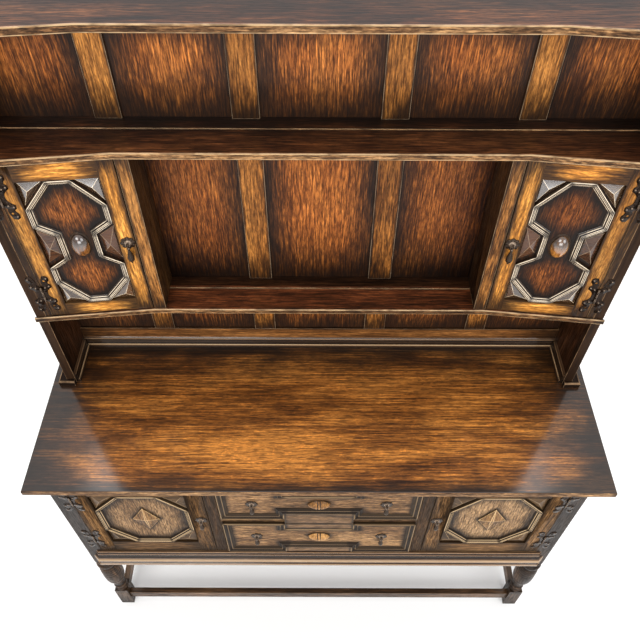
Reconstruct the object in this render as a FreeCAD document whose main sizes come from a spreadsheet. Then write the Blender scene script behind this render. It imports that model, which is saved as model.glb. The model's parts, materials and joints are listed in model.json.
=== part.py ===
# High-back oak dresser: a sideboard base on two turned front legs and two
# square rear legs, and a plate rack with two canted cupboards standing on it.
#
# Working datum used in the numbers below:
#   X  to the right, 0 on the centre line
#   Y  to the back, 0 on the face of the rack's back panels
#   Z  up, 0 on the top face of the worktop
# y_off and z_off in the sheet carry that datum into the part's own frame,
# whose origin is the middle of the bounding box at floor level.
import FreeCAD, Part
import os, math
import Sketcher
from FreeCAD import Vector as V, Placement, Rotation

os.makedirs("parts", exist_ok=True)
doc = FreeCAD.newDocument("dresser")
sheet = doc.addObject("Spreadsheet::Sheet", "Sizes")
cells = [
    # overall
    ("y_off", 217.0), ("z_off", 905.0),
    ("top_half", 700.0), ("top_front", -447.0), ("top_back", 13.0), ("top_thick", 22.0),
    ("top_round", 6.0),
    # sideboard base
    ("case_half", 668.0), ("case_front", -409.0), ("post_size", 41.0), ("case_low", -540.0),
    ("face_thick", 20.0), ("side_thick", 12.0), ("rail_top_low", -45.0),
    ("door_top", -46.0), ("door_low", -444.0), ("door_out", 626.0), ("door_in", 293.0),
    ("post_out", 291.0), ("post_in", 261.5), ("floor_top", -452.0), ("floor_thick", 12.0),
    ("part_out", 283.0), ("part_in", 271.0),
    ("base_stile", 46.0), ("base_rail_w", 59.0), ("door_thick", 20.0),
    # drawers
    ("drw_half", 260.0), ("drw_high", 198.5), ("drw_u_low", -244.75), ("drw_l_low", -445.0),
    ("drw_front_t", 18.0), ("box_half", 250.0), ("box_wall", 9.0), ("box_back", -44.0),
    ("box_low_gap", 5.0), ("box_top_gap", 16.0),
    # legs and stretchers
    ("block_top", -790.0), ("stretch_top", -825.0), ("stretch_low", -863.0), ("stretch_t", 18.0),
    # rack
    ("rack_out", 660.0), ("rack_in", 638.0), ("rack_top", 932.0),
    ("shelf1_z", 264.0), ("shelf1_t", 15.0), ("shelf2_z", 707.0), ("shelf2_t", 15.0),
    ("board_t", 16.0), ("bend_x", 387.0), ("plane_bend", -105.0), ("plane_out", -135.0),
    ("plane_out_x", 661.0), ("frame_front", -7.0), ("panel_t", 6.0),
    ("munt_a_in", 385.0), ("munt_a_out", 438.0), ("munt_b_in", 117.5), ("munt_b_out", 172.0),
    ("low_rail", 72.0), ("high_rail", 905.0), ("groove_y", -40.0),
    # cupboard doors, along the canted face from the bend outwards
    ("cup_in", 4.5), ("cup_out", 235.0), ("cup_low", 266.0), ("cup_top", 690.0),
    ("cup_thick", 18.0), ("cup_stile", 34.0), ("cup_rail_low", 36.0), ("cup_rail_top", 46.0),
    ("panel_drop", 8.0), ("tongue", 5.5),
    # ironwork
    ("leaf_t", 1.2), ("knuckle_r", 2.2), ("pin_r", 1.20), ("eye_r", 1.25), ("drop_gap", 9.5),
]
D = {}
for i, (name, value) in enumerate(cells):
    sheet.set("A%d" % (i + 1), name.replace("_", " "))
    sheet.set("B%d" % (i + 1), repr(value))
    sheet.setAlias("B%d" % (i + 1), name)
    D[name] = value
doc.recompute()
YO, ZO = D["y_off"], D["z_off"]
NODES = []


def expr(s):
    """A cell expression: bare aliases become references to the sheet."""
    out, word = "", ""
    for ch in str(s) + " ":
        if ch.isalnum() or ch == "_":
            word += ch
        else:
            out += ("Sizes." + word) if word in D else word
            word = ""
            out += ch
    return out.strip()


def box(name, x0, x1, y0, y1, z0, z1, node=True):
    """A board between six planes, each an expression on the sheet."""
    b = doc.addObject("Part::Box", name)
    b.Label = name
    for prop, lo, hi in (("Length", x0, x1), ("Width", y0, y1), ("Height", z0, z1)):
        b.setExpression(prop, expr("(%s) - (%s)" % (hi, lo)))
    b.setExpression("Placement.Base.x", expr("%s" % x0))
    b.setExpression("Placement.Base.y", expr("(%s) + y_off" % y0))
    b.setExpression("Placement.Base.z", expr("(%s) + z_off" % z0))
    if node:
        NODES.append(b)
    return b


def mirror_args(x0, x1, side):
    return (x0, x1) if side > 0 else ("-(%s)" % x1, "-(%s)" % x0)


def group(name, members):
    c = doc.addObject("Part::Compound", name)
    c.Label = name
    c.Links = members
    NODES.append(c)
    return c


def carved(name, shape, place=None):
    """A carved, turned or forged piece, whose outline no primitive gives."""
    f = doc.addObject("Part::Feature", name)
    f.Label = name
    f.Shape = shape
    base = place if place is not None else Placement(V(0, YO, ZO), Rotation())
    f.Placement = base.multiply(shape.Placement)
    NODES.append(f)
    return f


def prism(points, z0, z1):
    """Upright prism over a plan outline."""
    w = Part.makePolygon([V(x, y, z0) for x, y in points] + [V(points[0][0], points[0][1], z0)])
    return Part.Face(w).extrude(V(0, 0, z1 - z0))


def bar_x(profile, x0, x1):
    """A run along X of a (y, z) section."""
    w = Part.makePolygon([V(x0, y, z) for y, z in profile] + [V(x0, profile[0][0], profile[0][1])])
    return Part.Face(w).extrude(V(x1 - x0, 0, 0))


def bar_y(profile, y0, y1):
    """A run along Y of an (x, z) section."""
    w = Part.makePolygon([V(x, y0, z) for x, z in profile] + [V(profile[0][0], y0, profile[0][1])])
    return Part.Face(w).extrude(V(0, y1 - y0, 0))


def plane_of(body, role):
    for f in body.Origin.OriginFeatures:
        if f.Role == role:
            return f


def outline(body, name, role, pts, off=0.0):
    """A closed sketch on one of the body's own planes. Each corner is held by
    two dimensions, and a corner given as cell expressions follows the sheet."""
    sk = body.newObject("Sketcher::SketchObject", name)
    sk.AttachmentSupport = [(plane_of(body, role), "")]
    sk.MapMode = "FlatFace"
    sk.AttachmentOffset = Placement(V(0, 0, off), Rotation())
    vals = [(number(a), number(b)) for a, b in pts]
    n = len(pts)
    for i in range(n):
        p, q = vals[i], vals[(i + 1) % n]
        sk.addGeometry(Part.LineSegment(V(p[0], p[1], 0), V(q[0], q[1], 0)), False)
    for i in range(n):
        sk.addConstraint(Sketcher.Constraint("Coincident", i, 2, (i + 1) % n, 1))
    for i in range(n):
        for kind, k in (("DistanceX", 0), ("DistanceY", 1)):
            c = sk.addConstraint(Sketcher.Constraint(kind, -1, 1, i, 1, vals[i][k]))
            if not isinstance(pts[i][k], (int, float)):
                sk.setExpression("Constraints[%d]" % c, expr(pts[i][k]))
    return sk


def number(s):
    """The value of a cell expression now."""
    if isinstance(s, (int, float)):
        return float(s)
    sheet.set("D1", "=" + expr(s).replace("Sizes.", ""))
    sheet.recompute()
    r = sheet.get("D1")
    return float(getattr(r, "Value", r))


def add_rect(sk, x0, y0, x1, y1):
    """A second closed rectangle in a sketch, held the same way."""
    pts = [(x0, y0), (x1, y0), (x1, y1), (x0, y1)]
    vals = [(number(a), number(b)) for a, b in pts]
    base = len(sk.Geometry)
    for i in range(4):
        p, q = vals[i], vals[(i + 1) % 4]
        sk.addGeometry(Part.LineSegment(V(p[0], p[1], 0), V(q[0], q[1], 0)), False)
    for i in range(4):
        sk.addConstraint(Sketcher.Constraint("Coincident", base + i, 2, base + (i + 1) % 4, 1))
    for i in range(4):
        for kind, k in (("DistanceX", 0), ("DistanceY", 1)):
            c = sk.addConstraint(Sketcher.Constraint(kind, -1, 1, base + i, 1, vals[i][k]))
            if not isinstance(pts[i][k], (int, float)):
                sk.setExpression("Constraints[%d]" % c, expr(pts[i][k]))


def body_of(name):
    b = doc.addObject("PartDesign::Body", name)
    b.Label = name
    NODES.append(b)
    return b


# ------------------------------------------------------------------ worktop
worktop = body_of("worktop")
sk = outline(worktop, "worktop_plan", "XY_Plane",
             [("-top_half", "top_front"), ("top_half", "top_front"),
              ("top_half", "top_back"), ("-top_half", "top_back")])
pad = worktop.newObject("PartDesign::Pad", "worktop_board")
pad.Profile = sk
pad.setExpression("Length", expr("top_thick"))
pad.Reversed = True
sk.Visibility = False
doc.recompute()


def edge_names(shape, test):
    return ["Edge%d" % (i + 1) for i, e in enumerate(shape.Edges) if test(e.CenterOfMass, e)]


def shown(p, e):
    """The front and end arrises of the worktop."""
    along = e.BoundBox.XLength > 100 and p.y < D["top_front"] + 1
    ends = e.BoundBox.YLength > 100
    return along or ends


rim = worktop.newObject("PartDesign::Fillet", "worktop_thumb")
rim.Base = (pad, edge_names(pad.Shape, lambda p, e: shown(p, e) and p.z > -1))
rim.Radius = 3.0
doc.recompute()
rim2 = worktop.newObject("PartDesign::Fillet", "worktop_under")
rim2.Base = (rim, edge_names(rim.Shape, lambda p, e: shown(p, e) and p.z < -D["top_thick"] + 1))
rim2.setExpression("Radius", expr("top_round"))
worktop.Placement = Placement(V(0, YO, ZO), Rotation())
doc.recompute()

# ------------------------------------------------------- base: legs and posts


def spline(points):
    c = Part.BSplineCurve()
    c.interpolate([V(r, 0, z) for r, z in points])
    return c.toShape()


def leg_outline():
    """Half outline of the turned part, from the case down to the foot block:
    cap ring, bead, long bulb running into its neck, and a ring over the foot."""
    top, low = D["case_low"], D["block_top"]
    k = (low - top) / -250.0

    def at(pts):
        return [(r, top + z * k) for r, z in pts]
    bulb = at([(27.5, -56), (29.5, -66), (30.5, -85), (31.0, -110), (30.8, -130), (29.8, -146), (27.5, -160),
               (24.0, -173), (20.5, -186), (18.0, -197), (16.8, -208)])
    runs = [("line", at([(0, 0), (22.0, 0), (24.0, -1), (26.0, -5), (26.0, -11), (24.0, -15), (23.0, -17),
                         (25.5, -20), (29.0, -25), (30.0, -31), (29.0, -37), (26.0, -42), (24.5, -46),
                         (24.5, -50), (27.5, -56)])),
            ("spline", bulb),
            ("line", at([(16.8, -208), (17.2, -214), (19.5, -217), (20.3, -221), (19.5, -225), (17.0, -228),
                         (16.2, -232), (17.5, -237), (20.0, -241), (20.3, -246), (19.5, -250), (0, -250), (0, 0)]))]
    edges = []
    for kind, pts in runs:
        if kind == "line":
            for p, q in zip(pts, pts[1:]):
                edges.append(Part.LineSegment(V(p[0], 0, p[1]), V(q[0], 0, q[1])).toShape())
        else:
            edges.append(spline(pts))
    return Part.Wire(edges)


def front_leg():
    a = D["post_size"]
    post = Part.makeBox(a, a, -D["top_thick"] - D["case_low"], V(-a / 2, -a / 2, D["case_low"]))
    turn = Part.Face(leg_outline()).revolve(V(0, 0, 0), V(0, 0, 1), 360)
    z1 = -D["z_off"]
    block = Part.makeBox(a, a, D["block_top"] - z1, V(-a / 2, -a / 2, z1))
    return post.fuse(turn).fuse(block).removeSplitter()


leg_shape = front_leg()
for side, tag in ((-1, "left"), (1, "right")):
    at = V(side * (D["case_half"] - D["post_size"] / 2), D["case_front"] + D["post_size"] / 2, 0)
    carved("front_leg_" + tag, leg_shape.copy(), Placement(V(at.x, at.y + YO, ZO), Rotation()))

rear = []
for side, tag in ((-1, "left"), (1, "right")):
    xa, xb = mirror_args("case_half - post_size", "case_half", side)
    rear.append(box("rear_leg_" + tag, xa, xb, "top_back - post_size", "top_back",
                    "-z_off", "-top_thick", node=False))
group("rear_legs", rear)
box("front_stretcher", "-(case_half - post_size)", "case_half - post_size",
    "case_front + 6", "case_front + 6 + stretch_t", "stretch_low", "stretch_top")
ss = []
for side, tag in ((-1, "left"), (1, "right")):
    xa, xb = mirror_args("case_half - 30", "case_half - 30 + stretch_t", side)
    ss.append(box("side_stretcher_" + tag, xa, xb, "case_front + post_size",
                  "top_back - post_size", "stretch_low", "stretch_top", node=False))
group("side_stretchers", ss)

# ------------------------------------------------------------ base: carcase
sides = []
for side, tag in ((-1, "left"), (1, "right")):
    xa, xb = mirror_args("case_half - 4 - side_thick", "case_half - 4", side)
    sides.append(box("base_side_" + tag, xa, xb, "case_front + post_size",
                     "top_back - post_size", "case_low", "-top_thick", node=False))
group("base_sides", sides)
box("case_back", "-(case_half - post_size)", "case_half - post_size",
    "-2", "4", "case_low", "-top_thick")
floor_body = body_of("case_floor")
ix, ox = "case_half - post_size", "case_half - 4 - side_thick"
fy0, fy1, fy2, fy3 = "case_front + face_thick", "case_front + post_size", "top_back - post_size", "-2"
floor_plan = outline(floor_body, "case_floor_plan", "XY_Plane",
                     [("-(%s)" % ix, fy0), (ix, fy0), (ix, fy1), (ox, fy1), (ox, fy2), (ix, fy2), (ix, -2.0),
                      ("-(%s)" % ix, -2.0), ("-(%s)" % ix, fy2), ("-(%s)" % ox, fy2), ("-(%s)" % ox, fy1),
                      ("-(%s)" % ix, fy1)])
floor_pad = floor_body.newObject("PartDesign::Pad", "case_floor_board")
floor_pad.Profile = floor_plan
floor_pad.setExpression("Length", expr("floor_thick"))
floor_body.Placement = Placement(V(0, YO, ZO + D["floor_top"] - D["floor_thick"]), Rotation())
rails = [box("rail_under_top", "-(case_half - post_size)", "case_half - post_size",
             "case_front", "case_front + face_thick", "rail_top_low", "-top_thick", node=False),
         box("rail_above_plinth", "-(case_half - post_size)", "case_half - post_size",
             "case_front", "case_front + face_thick", "case_low", "door_low - 2", node=False)]
group("front_rails", rails)
for side, tag in ((-1, "left"), (1, "right")):
    xa, xb = mirror_args("post_in", "post_out", side)
    xc, xd = mirror_args("part_in", "part_out", side)
    group("divider_" + tag, [
        box("divider_post_" + tag, xa, xb, "case_front", "case_front + face_thick",
            "door_low - 2", "rail_top_low", node=False),
        box("divider_board_" + tag, xc, xd, "case_front + face_thick", "-2",
            "floor_top", "-top_thick", node=False)])
runs = []
for k, low in enumerate(("drw_u_low", "drw_l_low")):
    for side in (-1, 1):
        xa, xb = mirror_args("part_in - 33", "part_in", side)
        runs.append(box("runner_%d_%s" % (k, "l" if side < 0 else "r"), xa, xb,
                        "case_front + face_thick", "-2",
                        "%s + box_low_gap - 0.3 - %s" % (low, "10" if k == 0 else "11.7"),
                        "%s + box_low_gap - 0.3" % low, node=False))
group("drawer_runners", runs)

# base moulding: fillets, hollow, cushion torus and a sloped foot. It crosses
# the front faces of the leg posts and dies there on canted ends.
zt, yf, x_end = D["door_low"] - 3, D["case_front"], 635.0
sec = [(0, 0), (4, -0.5), (5, -2), (5, -6), (3.5, -8), (3.5, -10), (7.5, -12), (8, -13.5), (8, -16), (5.5, -18),
       (4.2, -22), (4.8, -26), (7, -30)]
for i in range(13):
    a = math.radians(90 - 180.0 * i / 12)
    sec.append((8.0 + 8.5 * math.cos(a), -42.5 + 12.0 * math.sin(a)))
sec += [(11, -56), (11, -58.5), (16.5, -60.5), (17, -62), (17, -68), (15, -70), (7, -84), (7, -90), (0, -93)]


def canted_run(sec):
    """A moulding along X whose ends return at 45 degrees to the face behind."""
    t = math.tan(math.radians(22.5))
    fa = []

    def face(pts):
        out = []
        for q in pts:
            if not out or (q - out[-1]).Length > 1e-6:
                out.append(q)
        if (out[0] - out[-1]).Length < 1e-6:
            out.pop()
        fa.append(Part.Face(Part.makePolygon(out + [out[0]])))
    front = [(V(-x_end - t * p, yf - p, zt + z), V(x_end + t * p, yf - p, zt + z)) for p, z in sec]
    back = [(V(-x_end - (1 + t) * p, yf, zt + z), V(x_end + (1 + t) * p, yf, zt + z)) for p, z in sec]
    for i in range(len(sec) - 1):
        (a0, b0), (a1, b1) = front[i], front[i + 1]
        (c0, d0), (c1, d1) = back[i], back[i + 1]
        face([a0, b0, b1, a1])
        face([b0, d0, d1, b1])
        face([c0, a0, a1, c1])
    face([d for c, d in back] + [c for c, d in reversed(back)])
    so = Part.Solid(Part.Shell(fa))
    if so.Volume < 0:
        so.reverse()
    return so


carved("base_moulding", canted_run(sec))

# ------------------------------------------------------------------ the rack
ang = math.degrees(math.atan2(D["plane_bend"] - D["plane_out"], D["plane_out_x"] - D["bend_x"]))
ta = math.tan(math.radians(ang))


def face_y(x):
    """Y of the canted cupboard face at a distance x from the centre line."""
    return D["plane_bend"] - max(0.0, abs(x) - D["bend_x"]) * ta


def shelf(z0, z1, out_x, front_c, front_o, bend, groove=True, notch=True):
    """A shelf with a straight middle and ends that come forward."""
    yb, ri = D["top_back"], D["rack_in"]
    k = 0.05

    def fy(x):
        return front_c + (front_o - front_c) * (x - bend) / (out_x - bend)
    left = [(-out_x, fy(out_x))]
    if notch:
        cut = [(-out_x, face_y(out_x) - k), (-ri, face_y(ri) - k), (-ri, yb)]
    else:
        cut = [(-out_x, yb)]
    pts = left + cut + [(-x, y) for x, y in reversed(cut)] + [(out_x, fy(out_x)), (bend, front_c), (-bend, front_c)]
    s = prism(pts, z0, z1)
    top = [e for e in s.Edges if abs(e.BoundBox.ZMin - z1) < 1e-6 and abs(e.BoundBox.ZMax - z1) < 1e-6
           and e.CenterOfMass.y < front_c + 0.01 and e.BoundBox.XLength > 50]
    low = [e for e in s.Edges if abs(e.BoundBox.ZMin - z0) < 1e-6 and abs(e.BoundBox.ZMax - z0) < 1e-6
           and e.CenterOfMass.y < front_c + 0.01 and e.BoundBox.XLength > 50]
    front = [e for e in top + low if not (notch and e.CenterOfMass.y > fy(out_x) and abs(e.CenterOfMass.x) > ri - 1)]
    try:
        s2 = s.makeFillet(2.6, front)
        if s2.isValid() and s2.Volume > 0:
            s = s2
    except Exception:
        pass
    if groove:
        gy = D["groove_y"]
        g = bar_x([(gy - 2.0, z1 + 1), (gy - 1.4, z1 - 2.0), (gy + 0.4, z1 - 2.0), (gy + 2.0, z1 + 1)],
                  -(ri - 1), ri - 1)
        s = s.cut(g)
    return s


carved("lower_shelf", shelf(D["shelf1_z"] - D["shelf1_t"], D["shelf1_z"], 663.0, -109.5, -140.0, 387.0))
carved("main_shelf", shelf(D["shelf2_z"] - D["shelf2_t"], D["shelf2_z"], 664.0, -118.0, -151.0, 389.0))
carved("top_board", shelf(D["rack_top"], D["rack_top"] + D["board_t"], 664.0, -118.0, -151.0, 389.0,
                          groove=False, notch=False))

for side, tag in ((-1, "left"), (1, "right")):
    ri, ro = D["rack_in"], D["rack_out"]
    b = body_of("rack_end_" + tag)
    s = outline(b, "rack_end_plan_" + tag, "XY_Plane",
                [(side * ri, face_y(ri)), (side * ri, D["top_back"]),
                 (side * ro, D["top_back"]), (side * ro, face_y(ro))])
    p = b.newObject("PartDesign::Pad", "rack_end_board_" + tag)
    p.Profile = s
    p.setExpression("Length", expr("rack_top"))
    b.Placement = Placement(V(0, YO, ZO), Rotation())
doc.recompute()

t = D["face_thick"]
z0, z1 = D["shelf1_z"], D["shelf2_z"] - D["shelf2_t"]
for side, tag in ((-1, "left"), (1, "right")):
    # inner post beside the door, with the boarded side of the open niche
    xo = D["bend_x"] + (D["cup_in"] - 2.0) * math.cos(math.radians(ang))
    xi = 362.0
    post = prism([(side * xi, D["plane_bend"]), (side * xi, D["plane_bend"] + t),
                  (side * xo, D["plane_bend"] + t), (side * xo, D["plane_bend"] - 0.27)], z0, z1)
    wall = prism([(side * xi, D["plane_bend"] + t), (side * xi, D["frame_front"]),
                  (side * (xi + 12), D["frame_front"]), (side * (xi + 12), D["plane_bend"] + t)], z0, z1)
    carved("cupboard_post_" + tag, Part.makeCompound([post, wall]))

hs = []
for side in (-1, 1):
    # hanging stile between the door and the end plank
    c, s_ = math.cos(math.radians(ang)), math.sin(math.radians(ang))
    u = D["cup_out"] + 1.2

    def pt(u, d):
        return (side * (D["bend_x"] + u * c + d * s_), D["plane_bend"] - u * s_ + d * c)
    a0, a1 = pt(u, 0), pt(u, t)
    ri = D["rack_in"]
    hs.append(prism([a0, a1, (side * ri, a1[1] - 1.4), (side * ri, face_y(ri))], z0, z1))
carved("hanging_stiles", Part.makeCompound(hs))

# back: grooved muntins and boards in three heights, with rails at foot and head
ff, yb, pt_ = D["frame_front"], D["top_back"], D["panel_t"]
tiers = [(D["low_rail"], D["shelf1_z"] - D["shelf1_t"]), (D["shelf1_z"], D["shelf2_z"] - D["shelf2_t"]),
         (D["shelf2_z"], D["high_rail"])]
gw = 6.0
munts = []
for (a, b) in tiers:
    for side in (-1, 1):
        for m0, m1 in ((D["munt_a_in"], D["munt_a_out"]), (D["munt_b_in"], D["munt_b_out"])):
            plan = [(m0, ff), (m0, 0), (m0 + gw, 0), (m0 + gw, pt_), (m0, pt_), (m0, yb),
                    (m1, yb), (m1, pt_), (m1 - gw, pt_), (m1 - gw, 0), (m1, 0), (m1, ff)]
            munts.append(prism([(side * x, y) for x, y in plan], a, b))
carved("back_muntins", Part.makeCompound(munts))
boards = []
for k, (a, b) in enumerate((("low_rail", "shelf1_z - shelf1_t"), ("shelf1_z", "shelf2_z - shelf2_t"),
                            ("shelf2_z", "high_rail"))):
    for i, (x0, x1) in enumerate((("-rack_in", "-munt_a_out + 6"), ("-munt_a_in - 6", "-munt_b_out + 6"),
                                  ("-munt_b_in - 6", "munt_b_in + 6"), ("munt_b_out - 6", "munt_a_in + 6"),
                                  ("munt_a_out - 6", "rack_in"))):
        boards.append(box("back_panel_%d_%d" % (k, i), x0, x1, "0", "panel_t", a, b, node=False))
group("back_panels", boards)
group("back_rails", [
    box("back_rail_foot", "-rack_in", "rack_in", "frame_front", "top_back", "0", "low_rail", node=False),
    box("back_rail_head", "-rack_in", "rack_in", "frame_front", "top_back", "high_rail", "rack_top", node=False)])

# skirting round the foot of the rack, and the plinths of its ends
sk_sec = [(0, 0), (11, 0), (11, 9), (9, 11), (9, 13), (7.5, 15), (7.5, 24), (5, 27), (5, 31), (2.5, 34), (0, 36)]
ri = D["rack_in"]
runs3 = [bar_x([(ff - p * 0.75, z) for p, z in sk_sec], -ri, ri)]
for side in (-1, 1):
    runs3.append(bar_y([(side * (ri - p), z) for p, z in sk_sec], -130.0, ff - 8.3))
carved("rack_skirting", Part.makeCompound(runs3))
pl = []
for side in (-1, 1):
    ro = D["rack_out"]
    out = [(side * (ri + 0.0), -145.0), (side * (ri + 0.0), face_y(ri) - 0.02), (side * (ro + 0.02), face_y(ro) - 0.02),
           (side * (ro + 0.02), yb), (side * (ro + 20), yb), (side * (ro + 20), -145.0)]
    s = prism(out, 0.0, 17.0)
    e = [k for k in s.Edges if abs(k.CenterOfMass.z - 17.0) < 1e-6 and
         (abs(abs(k.CenterOfMass.x) - (ro + 20)) < 0.01 or abs(k.CenterOfMass.y + 145.0) < 0.01)]
    s = s.makeFillet(4.0, e)
    pl.append(s)
carved("rack_plinths", Part.makeCompound(pl))

# --------------------------------------------------------- applied ornament


def offset_poly(poly, d):
    """Parallel outline inside a closed (x, z) outline drawn anticlockwise."""
    n, out = len(poly), []
    for i in range(n):
        ax, az = poly[i - 1]
        bx, bz = poly[i]
        cx, cz = poly[(i + 1) % n]
        e1 = V(bx - ax, bz - az, 0).normalize()
        e2 = V(cx - bx, cz - bz, 0).normalize()
        n1, n2 = V(-e1.y, e1.x, 0), V(-e2.y, e2.x, 0)
        k = 1.0 + n1.x * n2.x + n1.y * n2.y
        out.append((bx + d * (n1.x + n2.x) / k, bz + d * (n1.y + n2.y) / k))
    return out


def mitred(poly, section):
    """A closed run of moulding with mitred corners. The section is a closed
    list of (distance in from the outline, y)."""
    area = sum(poly[i][0] * poly[(i + 1) % len(poly)][1] - poly[(i + 1) % len(poly)][0] * poly[i][1]
               for i in range(len(poly)))
    if area < 0:
        poly = poly[::-1]
    rings = [[V(x, y, z) for x, z in offset_poly(poly, d)] for d, y in section]
    faces = []
    m, n = len(section), len(poly)
    for j in range(m):
        r0, r1 = rings[j], rings[(j + 1) % m]
        for i in range(n):
            a, b, c, d = r0[i], r0[(i + 1) % n], r1[(i + 1) % n], r1[i]
            faces.append(Part.Face(Part.makePolygon([a, b, c, d, a])))
    sh = Part.Shell(faces)
    so = Part.Solid(sh)
    if so.Volume < 0:
        so.reverse()
    return so


def facets(base, tips, faces):
    """A faceted boss from its corner points."""
    pts = base + tips
    fs = []
    for f in faces:
        w = [pts[i] for i in f]
        fs.append(Part.Face(Part.makePolygon(w + [w[0]])))
    so = Part.Solid(Part.Shell(fs))
    if so.Volume < 0:
        so.reverse()
    return so


def pyramid(poly, y0, height, shrink=0.0):
    """A pyramid on a convex (x, z) outline lying in the plane y0."""
    n = len(poly)
    cx = sum(p[0] for p in poly) / n
    cz = sum(p[1] for p in poly) / n
    base = [V(x + (cx - x) * shrink, y0, z + (cz - z) * shrink) for x, z in poly]
    tip = V(cx, y0 - height, cz)
    return facets(base, [tip], [list(range(n))] + [[i, (i + 1) % n, n] for i in range(n)])


def dome(cx, cz, y0, a, b, high):
    """Half of an ellipsoid standing on the plane y0."""
    s = Part.makeSphere(1.0)
    m = FreeCAD.Matrix()
    m.scale(a, high, b)
    s = s.transformGeometry(m)
    s.translate(V(cx, y0, cz))
    keep = Part.makeBox(4 * a, 2 * high, 4 * b, V(cx - 2 * a, y0 - 2 * high, cz - 2 * b))
    return s.common(keep)


SEC = [(0, 0), (0, -8.2), (1.6, -9.6), (4.4, -9.6), (5.4, -8.0), (7.0, -8.0), (8.2, -6.8),
       (10.2, -4.0), (11.8, -3.4), (12.2, -2.0), (14.0, -1.8), (14.0, 0)]


def section(y0, scale=1.0, wide=1.0):
    return [(d * wide, y0 + h * scale) for d, h in SEC]


def flower(r_in, r_lobe, r_ring, n, y0, y1, turn=0.0):
    """A pierced rosette plate of n petals, standing on y0 out to y1."""
    s = Part.makeCylinder(r_in, abs(y1 - y0), V(0, y0, 0), V(0, -1, 0))
    for k in range(n):
        a = 2 * math.pi * k / n + turn
        s = s.fuse(Part.makeCylinder(r_lobe, abs(y1 - y0), V(r_ring * math.cos(a), y0, r_ring * math.sin(a)), V(0, -1, 0)))
    for k in range(n):
        a = 2 * math.pi * (k + 0.5) / n + turn
        rr = r_ring * 0.74
        s = s.cut(Part.makeCylinder(1.3, 20, V(rr * math.cos(a), y0 + 5, rr * math.sin(a)), V(0, -1, 0)))
    return s.removeSplitter()


def pull_plate():
    """Back plate with a domed middle and two lugs that carry the drop."""
    g = D["drop_gap"]
    s = flower(9.5, 5.2, 10.8, 8, 0.0, -1.8)
    ring = Part.makeCone(8.5, 6.0, 1.6, V(0, -1.7, 0), V(0, -1, 0))
    s = s.fuse(ring)
    for sx in (-1, 1):
        lug = Part.makeBox(2.0, g + 2.4, 5.6, V(sx * 3.9 - 1.0, -g - 2.4, -2.8))
        s = s.fuse(lug)
    s = s.cut(Part.makeCylinder(D["eye_r"], 20, V(-10, -g, 0), V(1, 0, 0)))
    return s.removeSplitter()


def pull_drop(long=1.0, fat=1.0):
    """Pear drop on its cross pin, hanging from the lugs."""
    g = D["drop_gap"]
    pin = Part.makeCylinder(D["pin_r"], 9.6, V(-4.8, 0, 0), V(1, 0, 0))
    prof = [(0, 2.4), (1.8, 2.2), (2.4, 1.0), (2.4, -1.0), (1.9, -3.0), (1.7, -5.0), (3.0, -6.2), (3.4, -7.4),
            (2.6, -8.8), (2.2, -10.5), (3.0, -14.0), (4.6, -19.0), (6.0, -24.0), (6.4, -28.0), (5.8, -31.5),
            (3.8, -34.2), (2.0, -35.2), (2.4, -36.8), (1.6, -38.4), (0, -39.0)]
    prof = [(r * fat if z < -5.5 else r, z * long if z < 0 else z) for r, z in prof]
    w = Part.makePolygon([V(r, 0, z) for r, z in prof] + [V(prof[0][0], 0, prof[0][1])])
    body = Part.Face(w).revolve(V(0, 0, 0), V(0, 0, 1), 360)
    s = body.fuse(pin)
    s.translate(V(0, -g, 0))
    return s.removeSplitter()


def leaf(sx, knuckles, high=112.0):
    """One butterfly hinge leaf on the plane y=0, reaching out in sx, with its
    share of the knuckle standing on the axis."""
    r, t_ = D["knuckle_r"], D["leaf_t"]
    hh = high / 2
    side = [(2.4, hh * 0.42), (6.5, hh * 0.50), (5.0, hh * 0.62), (7.0, hh * 0.78), (11.0, hh * 0.97), (18.0, hh), (24.0, hh * 0.92),
            (25.0, hh * 0.78), (20.5, hh * 0.66), (19.0, hh * 0.58), (24.0, hh * 0.50), (24.5, hh * 0.36),
            (17.0, hh * 0.26), (12.0, hh * 0.14), (11.0, 0.0)]
    pts = side + [(x, -z) for x, z in reversed(side[:-1])]
    w = Part.makePolygon([V(sx * x, 0, z) for x, z in pts] + [V(sx * pts[0][0], 0, pts[0][1])])
    s = Part.Face(w).extrude(V(0, -t_, 0))
    for z in (hh * 0.72, -hh * 0.72):
        s = s.cut(Part.makeCylinder(2.6, 6, V(sx * 12.5, 3, z), V(0, -1, 0)))
    for x, z in ((19.5, hh * 0.86), (19.5, hh * 0.43), (10.5, hh * 0.36)):
        for q in (z, -z):
            s = s.fuse(dome(sx * x, q, -t_ + 0.1, 2.5, 2.5, 1.7))
    for a, b in knuckles:
        s = s.fuse(Part.makeCylinder(r, b - a, V(0, -r - 0.3, a), V(0, 0, 1)))
        s = s.fuse(Part.makeBox(2.6, t_, b - a, V(0 if sx > 0 else -2.6, -t_, a)))
    return s.removeSplitter()


KNUCK_FIX = [(-22.0, -8.2), (8.2, 22.0)]
KNUCK_DOOR = [(-7.8, 7.8)]
AXIS_OUT = 0.8
LEAVES = {(sx, moving): leaf(sx, KNUCK_DOOR if moving else KNUCK_FIX)
          for sx in (-1, 1) for moving in (True, False)}
PLATE, DROP, CUP_DROP = pull_plate(), pull_drop(), pull_drop(1.28, 1.15)


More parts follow.
